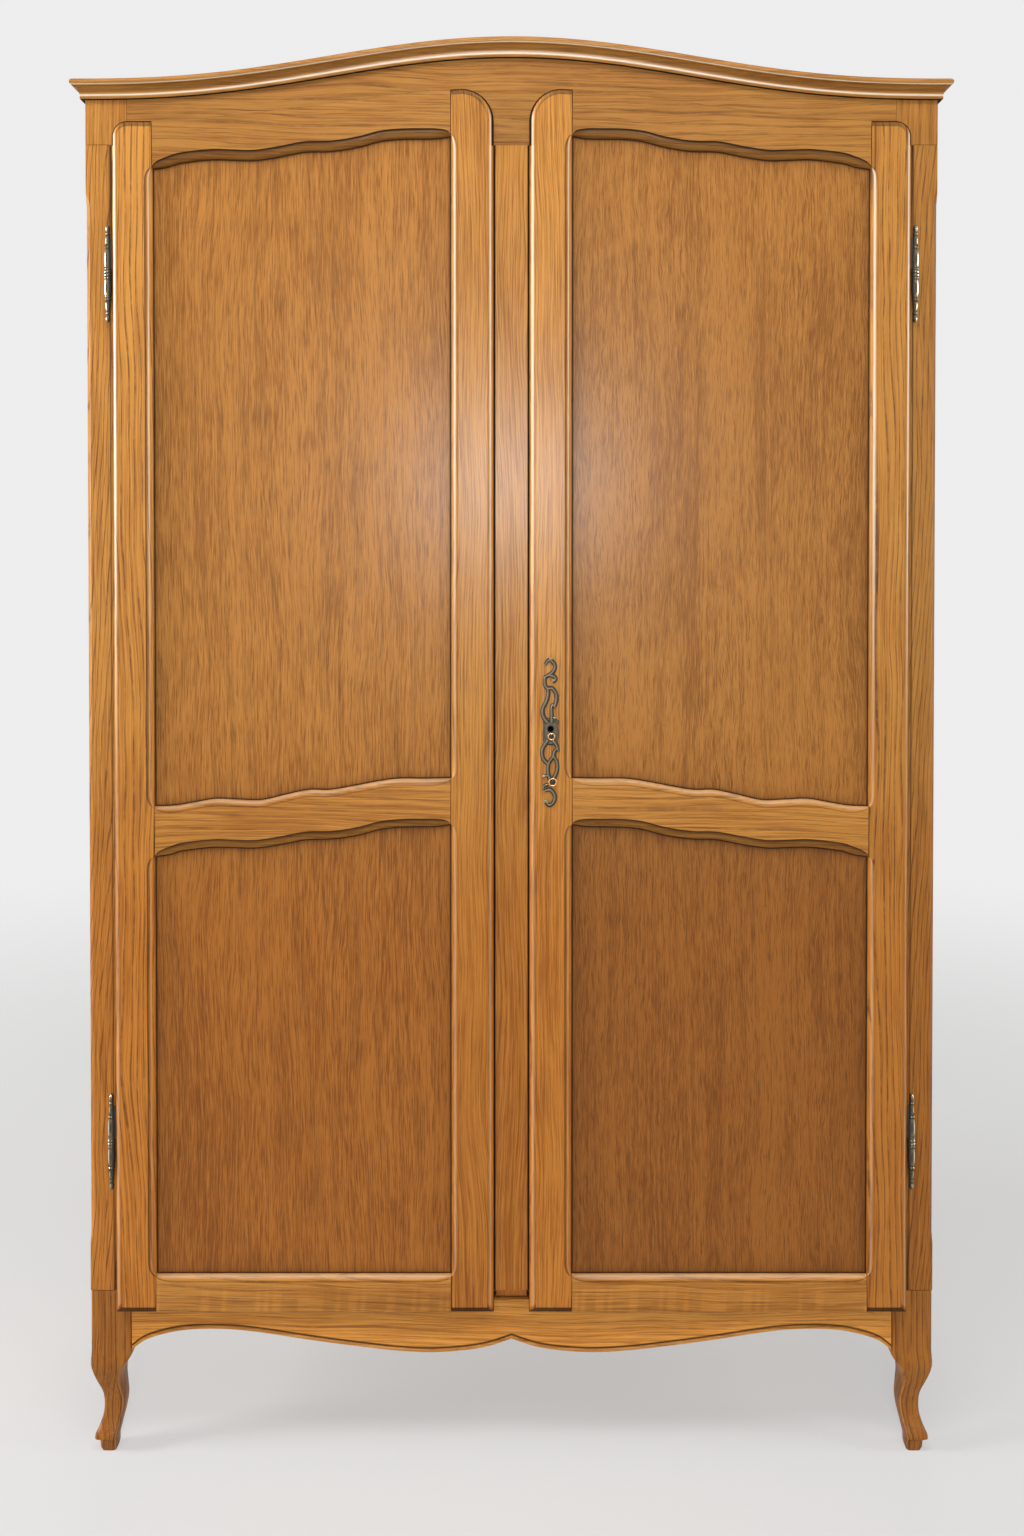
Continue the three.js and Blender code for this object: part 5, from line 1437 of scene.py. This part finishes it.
# Section of a stroke: across, out and how dark or pale, dark at its rims with patina and painted shade, and
# with a painted highlight along its ridge
STROKE_SECTION = (
    (-1, 0, 1), (-1, 0.4, 1), (-0.8, 0.62, 1), (-0.58, 0.78, 0.8), (-0.4, 0.9, 0.2), (-0.15, 1, -0.1),
    (0.1, 0.92, 0.35), (0.35, 0.8, 0.8), (0.7, 0.62, 1), (1, 0.4, 1), (1, 0, 1),
)
# Section of the plate round the keyhole: inward, out and how dark or pale, dark at its rims with patina and
# painted shade
PLATE_SECTION = (
    (0, 0, 1), (0, 0.4, 1), (0.06, 0.58, 1), (0.16, 0.62, 0.5), (0.26, 0.5, 0.75), (0.5, 0.48, 0.6),
    (0.8, 0.5, 0.6), (0.92, 0.54, 0.8), (1, 0.5, 1), (1, 0, 1),
)
SCROLL_HEIGHT = 0.216
SCROLL_WIDTH = 0.024
SCROLL_DEPTH = 0.0036
SCROLL_FULLNESS = 1.62
SCROLL_STEPS = 7
SCROLL_ENDS = ((0, 0.05), (0.15, 0.55), (0.5, 0.87))
END_DEPTH = 0.35
TANGENT_STEP = 0.02
PLATE_STEPS = 6
KEYHOLE_RADIUS = 0.0042
KEYHOLE_UP = 0.518
KEYHOLE_MOUTH = 1.1
# A faint painted highlight on the bosses
BOSS_GLINT = -0.15
BOSS_SUNK = 0.7

# Rings of the rosettes: across, up, radius and thickness, and how far out they lie
RINGS = ((0.044, 0.468, 0.0044, 0.0011), (0.12, 0.164, 0.0052, 0.0012))
RING_OUT = 0.72
RING_SEGMENTS = 32
RING_SECTION_SEGMENTS = 12
DOME_SEGMENTS = 16


def curve_point(points, t):
    """A point on a smooth curve through points, t counted in points."""
    last = len(points) - 1
    i = min(int(t), last - 1)
    before, start = Vector(points[max(i - 1, 0)]), Vector(points[i])
    end, after = Vector(points[i + 1]), Vector(points[min(i + 2, last)])
    u = t - i
    return 0.5 * (
        2 * start + (end - before) * u + (2 * before - 5 * start + 4 * end - after) * u ** 2
        + (3 * start - before - 3 * end + after) * u ** 3
    )


def scroll_place(across, up):
    """A place on the escutcheon, in metres, from shares of its width and height."""
    middle = (DOOR_INNER + INNER_JOINT) / 2
    return middle + across * SCROLL_WIDTH, low("escutcheon").z + up * SCROLL_HEIGHT


def stroke(points, back):
    """A cast scroll: a ridged section led along a curve, with rounded ends."""
    placed = [(*scroll_place(across, up), width * SCROLL_WIDTH) for across, up, width in points]
    last = len(placed) - 1
    places = [last * t for t in even(last * SCROLL_STEPS)]
    first_width, last_width = placed[0][2], placed[-1][2]
    steps = [(places[0], -first_width / 2 * (1 - out), size) for out, size in SCROLL_ENDS]
    steps += [(place, 0, 1) for place in places]
    steps += [(places[-1], last_width / 2 * (1 - out), size) for out, size in reversed(SCROLL_ENDS)]
    rings = []
    for t, advance, size in steps:
        point = curve_point(placed, t)
        before, after = max(t - TANGENT_STEP, 0), min(t + TANGENT_STEP, last)
        ahead = curve_point(placed, after) - curve_point(placed, before)
        along = Vector((ahead.x, ahead.y)).normalized()
        half = point.z / 2 * size * SCROLL_FULLNESS
        depth = SCROLL_DEPTH * (END_DEPTH + (1 - END_DEPTH) * size)
        ring = []
        for across, out, stain in STROKE_SECTION:
            x = point.x + along.x * advance - along.y * half * across
            z = point.y + along.y * advance + along.x * half * across
            ring.append((x, back - out * depth, z, stain))
        rings.append(ring)
    return skin(rings)


def dome(across, up, radius, back, stain=BOSS_GLINT):
    """A small round boss."""
    x, z = scroll_place(across, up)
    radius *= SCROLL_WIDTH
    shape = bmesh.new()
    layer = shape.verts.layers.float.new(DIRT_AND_SHADING)
    bmesh.ops.create_uvsphere(
        shape, u_segments=DOME_SEGMENTS, v_segments=DOME_SEGMENTS // 2, radius=radius
    )
    for vertex in shape.verts:
        vertex[layer] = stain
    place = (x, back - SCROLL_DEPTH + radius * BOSS_SUNK, z)
    bmesh.ops.translate(shape, vec=place, verts=shape.verts)
    return shape


def loop_of(across, up, radius, thickness, back):
    """A ring of round section."""
    x, z = scroll_place(across, up)
    centre = Vector((x, back - SCROLL_DEPTH * RING_OUT, z))
    shape = bmesh.new()
    shape.verts.layers.float.new(DIRT_AND_SHADING)
    circle = bmesh.ops.create_circle(shape, segments=RING_SECTION_SEGMENTS, radius=thickness)["verts"]
    bmesh.ops.translate(shape, vec=centre + Vector((radius, 0, 0)), verts=circle)
    edges = list(shape.edges)
    bmesh.ops.spin(
        shape, geom=circle + edges, cent=centre, axis=(0, 1, 0), angle=2 * math.pi,
        steps=RING_SEGMENTS, use_merge=True, use_duplicate=False,
    )
    return welded(shape)


def keyhole_plate(back):
    """The plate round the keyhole, raised at its rim."""
    points = [scroll_place(*point) for point in PLATE_POINTS]
    looped = points[-1:] + points + points[:2]
    count = len(points) * PLATE_STEPS
    outer = [curve_point(looped, 1 + i / PLATE_STEPS) for i in range(count)]
    hole = Vector(scroll_place(0, KEYHOLE_UP))
    rings = []
    for inward, out, stain in PLATE_SECTION:
        ring = []
        for point in outer:
            rim = hole + (point - hole).normalized() * KEYHOLE_RADIUS
            place = point.lerp(rim, inward)
            ring.append((place.x, back - out * SCROLL_DEPTH, place.y, stain))
        rings.append(ring)
    return skin(rings + [rings[0]])


def keyhole_shadow_disc(back):
    """A black disc behind the keyhole, painted shadow for the dark mouth of the lock behind the plate."""
    x, z = scroll_place(0, KEYHOLE_UP)
    shape = bmesh.new()
    radius = KEYHOLE_RADIUS * KEYHOLE_MOUTH
    bmesh.ops.create_cone(
        shape, cap_ends=True, segments=RING_SEGMENTS, radius1=radius, radius2=radius,
        depth=SCROLL_DEPTH * 0.1,
    )
    turn = Matrix.Rotation(math.pi / 2, 3, "X")
    bmesh.ops.rotate(shape, cent=(0, 0, 0), matrix=turn, verts=shape.verts)
    bmesh.ops.translate(shape, vec=(x, back - SCROLL_DEPTH * 0.07, z), verts=shape.verts)
    return shape


def escutcheon_shape(back):
    shapes = [stroke(points, back) for points in SCROLL_STROKES]
    shapes += [dome(*spot, back) for spot in SCROLL_ROUNDS]
    for across, up, radius, _ in RINGS:
        shapes.append(dome(across, up, radius / SCROLL_WIDTH * BOSS_SUNK, back, 1.0))
    return gathered(*shapes, keyhole_plate(back))


FITTING_ARRIS = 0.0004
FITTINGS = (
    ("lock_case", "right_door"), ("lock_bolt", "lock_bolt"), ("left_bolt", "left_bolt"),
    ("left_bolt_plate", "left_door"),
)


class WARDROBE_OT_hinges(bpy.types.Operator):
    """Adds the four turned hinges, a half on the frame and a half on the door"""

    bl_idname = "wardrobe.hinges"
    bl_label = "Hinges"

    def execute(self, context):
        colours = context.scene.wardrobe_colours
        brass = metal("hinge brass", colours.brass, colours, grain_size=700, gloss=0.2, mottling=0.5)
        halves = (("frame", hinge_frame_half), ("door", hinge_door_half))
        for level in ("upper", "lower"):
            right = f"{level}_hinge_frame_half_right"
            x = (low(right).x + high(right).x) / 2
            place = (x, POST_FACE - HINGE_OUT, low(right).z + HINGE_HALF)
            for side in DOOR_SIDES:
                for half, make in halves:
                    shape = mirrored(make(place)) if side == "left" else make(place)
                    body = "carcass" if half == "frame" else f"{side}_door"
                    node = f"{level}_hinge_{half}_half_{side}"
                    publish(shape, f"{node}_turned", body, brass, [node])
        return {"FINISHED"}


class WARDROBE_OT_fittings(bpy.types.Operator):
    """Adds the cast escutcheon, the lock and the slide bolt"""

    bl_idname = "wardrobe.fittings"
    bl_label = "Escutcheon, lock and bolt"

    def execute(self, context):
        colours = context.scene.wardrobe_colours
        steel = metal("lock steel", colours.steel, colours, grain_size=400, gloss=0.36, mottling=0.8)
        bronze = metal("scroll bronze", colours.bronze, colours, grain_size=700, gloss=0.3, mottling=0.45)
        gold = metal("rosette brass", colours.rosette, colours, grain_size=900, gloss=0.25, mottling=0.9)
        for node, body in FITTINGS:
            shape = solid_copy(node, FITTING_ARRIS)
            publish(shape, f"{node}_finished", body, steel, [node])
        back = high("escutcheon").y
        rosettes = gathered(*[loop_of(*ring, back) for ring in RINGS])
        for shape, name, material, replaced in (
            (escutcheon_shape(back), "scroll_escutcheon", bronze, ["escutcheon"]),
            (keyhole_shadow_disc(back), "keyhole_shadow", shadow_black("keyhole soot", 120), ()),
            (rosettes, "rosette_rings", gold, ()),
        ):
            publish(shape, name, "right_door", material, replaced)
        return {"FINISHED"}


# Stage

# The camera, with the image's measures in pixels
CAMERA_PLACE = (0, -2.4359, 1.3317)
CAMERA_TILT = math.radians(90 - 0.952)
FOCAL_PIXELS = 1500
IMAGE_HEIGHT = 1536
PRINCIPAL_ROW = 564.9
PRINCIPAL_COLUMN = 511.5
IMAGE_WIDTH = 1024
SENSOR = 36


# Lamps: name, place, target, size and power in watts
LAMPS = (
    ("Front window", (0, -4.4, 1.575), (0, 0, 1.4), (0.5, 0.42), 66),
    ("Front curtain", (0, -4.4, 2.1), (0, 0, 1.6), (1.6, 1.2), 7),
    ("Ceiling light", (0, -1.7, 3.6), (0, -0.2, 1.6), (2.4, 1.0), 46),
    ("Left window", (-4.5, -0.9, 1.9), (0, -0.28, 1.4), (1.2, 2.0), 170),
    ("Right window", (4.5, -0.9, 1.9), (0, -0.28, 1.4), (1.2, 2.0), 60),
    ("Rear fill", (0, 4.5, 3.2), (0, 0, 0.9), (3.5, 2), 60),
)

# How bright the surroundings are where they are seen, and as light on the wardrobe
WORLD_SEEN = 0.85
WORLD_LIGHT = 0.1


def area_light(name, place, target, size, power):
    data = bpy.data.lights.new(name, "AREA")
    data.shape = "RECTANGLE"
    data.size, data.size_y = size
    data.energy = power
    lamp = bpy.data.objects.new(name, data)
    lamp.location = place
    lamp.rotation_euler = (Vector(target) - Vector(place)).to_track_quat("-Z", "Y").to_euler()
    bpy.context.scene.collection.objects.link(lamp)


def camera():
    data = bpy.data.cameras.new("Camera")
    data.sensor_width = SENSOR
    data.lens = SENSOR * FOCAL_PIXELS / IMAGE_HEIGHT
    data.shift_y = (PRINCIPAL_ROW - IMAGE_HEIGHT / 2) / IMAGE_HEIGHT
    data.shift_x = (IMAGE_WIDTH / 2 - PRINCIPAL_COLUMN) / IMAGE_HEIGHT
    made = bpy.data.objects.new("Camera", data)
    made.location = CAMERA_PLACE
    made.rotation_euler = (CAMERA_TILT, 0, 0)
    bpy.context.scene.collection.objects.link(made)
    bpy.context.scene.camera = made


def background_rays(shader):
    """1 for the rays that show the background: the camera's, and those that metal or glass sends on."""
    seen = shader.node("ShaderNodeLightPath")
    rays = seen.socket.node.outputs
    for kind in ("Is Glossy Ray", "Is Transmission Ray"):
        seen = seen.joined("MAXIMUM", seen, Wire(shader, rays[kind]))
    return seen


def studio_world():
    """Pale surroundings for the camera and in reflections, and a soft light from all sides."""
    shader = Shader("Studio", "worlds")
    strength = shader.ramp(background_rays(shader), 0.0, 1.0, WORLD_LIGHT, WORLD_SEEN)
    light = shader.node("ShaderNodeBackground", None, {"Color": (1, 1, 1, 1), "Strength": strength})
    shader.node("ShaderNodeOutputWorld", None, {"Surface": light})
    bpy.context.scene.world = shader.made


# The floor: half its width, where it starts and ends to fade, and how much of its own glow is seen
FLOOR_HALF = 5
FLOOR_SOLID = 1.0
FLOOR_GONE = 4.0
FLOOR_GLOW = 0.5
FLOOR_COLOUR = (0.74, 0.74, 0.73)


def floor():
    """A pale floor that keeps the wardrobe's shadow and fades into the surroundings away from it."""
    shape = bmesh.new()
    bmesh.ops.create_grid(shape, x_segments=1, y_segments=1, size=FLOOR_HALF)
    mesh = bpy.data.meshes.new("studio_floor")
    shape.to_mesh(mesh)
    shape.free()
    shader = Shader("studio floor")
    x, y, _ = shader.parts(shader.node("ShaderNodeTexCoord", output=3))
    fade = shader.ramp((x * x + y * y).root(), FLOOR_SOLID, FLOOR_GONE, 1.0, 0.0)
    lit = shader.node("ShaderNodeBsdfDiffuse", None, {"Color": rgba(FLOOR_COLOUR)})
    glow = shader.node("ShaderNodeEmission", None, {"Strength": WORLD_SEEN})
    clear = shader.node("ShaderNodeBsdfTransparent")
    glowing = background_rays(shader) * FLOOR_GLOW
    seen = shader.node("ShaderNodeMixShader", None, {0: glowing, 1: lit, 2: glow})
    faded = shader.node("ShaderNodeMixShader", None, {0: fade, 1: clear, 2: seen})
    shader.node("ShaderNodeOutputMaterial", None, {"Surface": faded})
    mesh.materials.append(shader.made)
    piece = bpy.data.objects.new("studio_floor", mesh)
    bpy.context.scene.collection.objects.link(piece)


class WARDROBE_OT_stage(bpy.types.Operator):
    """Adds the camera, the lamps, the pale surroundings and the floor"""

    bl_idname = "wardrobe.stage"
    bl_label = "Stage"

    def execute(self, context):
        camera()
        context.scene.view_settings.view_transform = "Standard"
        studio_world()
        floor()
        for lamp in LAMPS:
            area_light(*lamp)
        return {"FINISHED"}


OPERATORS = (
    WARDROBE_OT_stage,
    WARDROBE_OT_cornice,
    WARDROBE_OT_stiles,
    WARDROBE_OT_rails,
    WARDROBE_OT_panels,
    WARDROBE_OT_base,
    WARDROBE_OT_carcass,
    WARDROBE_OT_hinges,
    WARDROBE_OT_fittings,
)


class WARDROBE_PT_pieces(bpy.types.Panel):
    """Lists the pieces of the wardrobe in the sidebar"""

    bl_label = "Arched Oak Wardrobe"
    bl_space_type = "VIEW_3D"
    bl_region_type = "UI"
    bl_category = "Wardrobe"

    def draw(self, context):
        for operator in OPERATORS:
            self.layout.operator(operator.bl_idname)


CLASSES = (WardrobeSizes, WardrobeColours, *OPERATORS, WARDROBE_PT_pieces)


def register():
    for each in CLASSES:
        bpy.utils.register_class(each)
    bpy.types.Scene.wardrobe_sizes = bpy.props.PointerProperty(type=WardrobeSizes)
    bpy.types.Scene.wardrobe_colours = bpy.props.PointerProperty(type=WardrobeColours)


def unregister():
    del bpy.types.Scene.wardrobe_colours
    del bpy.types.Scene.wardrobe_sizes
    for each in reversed(CLASSES):
        bpy.utils.unregister_class(each)


def main():
    register()
    for operator in OPERATORS:
        group, name = operator.bl_idname.split(".")
        getattr(getattr(bpy.ops, group), name)()


if __name__ == "__main__":
    main()
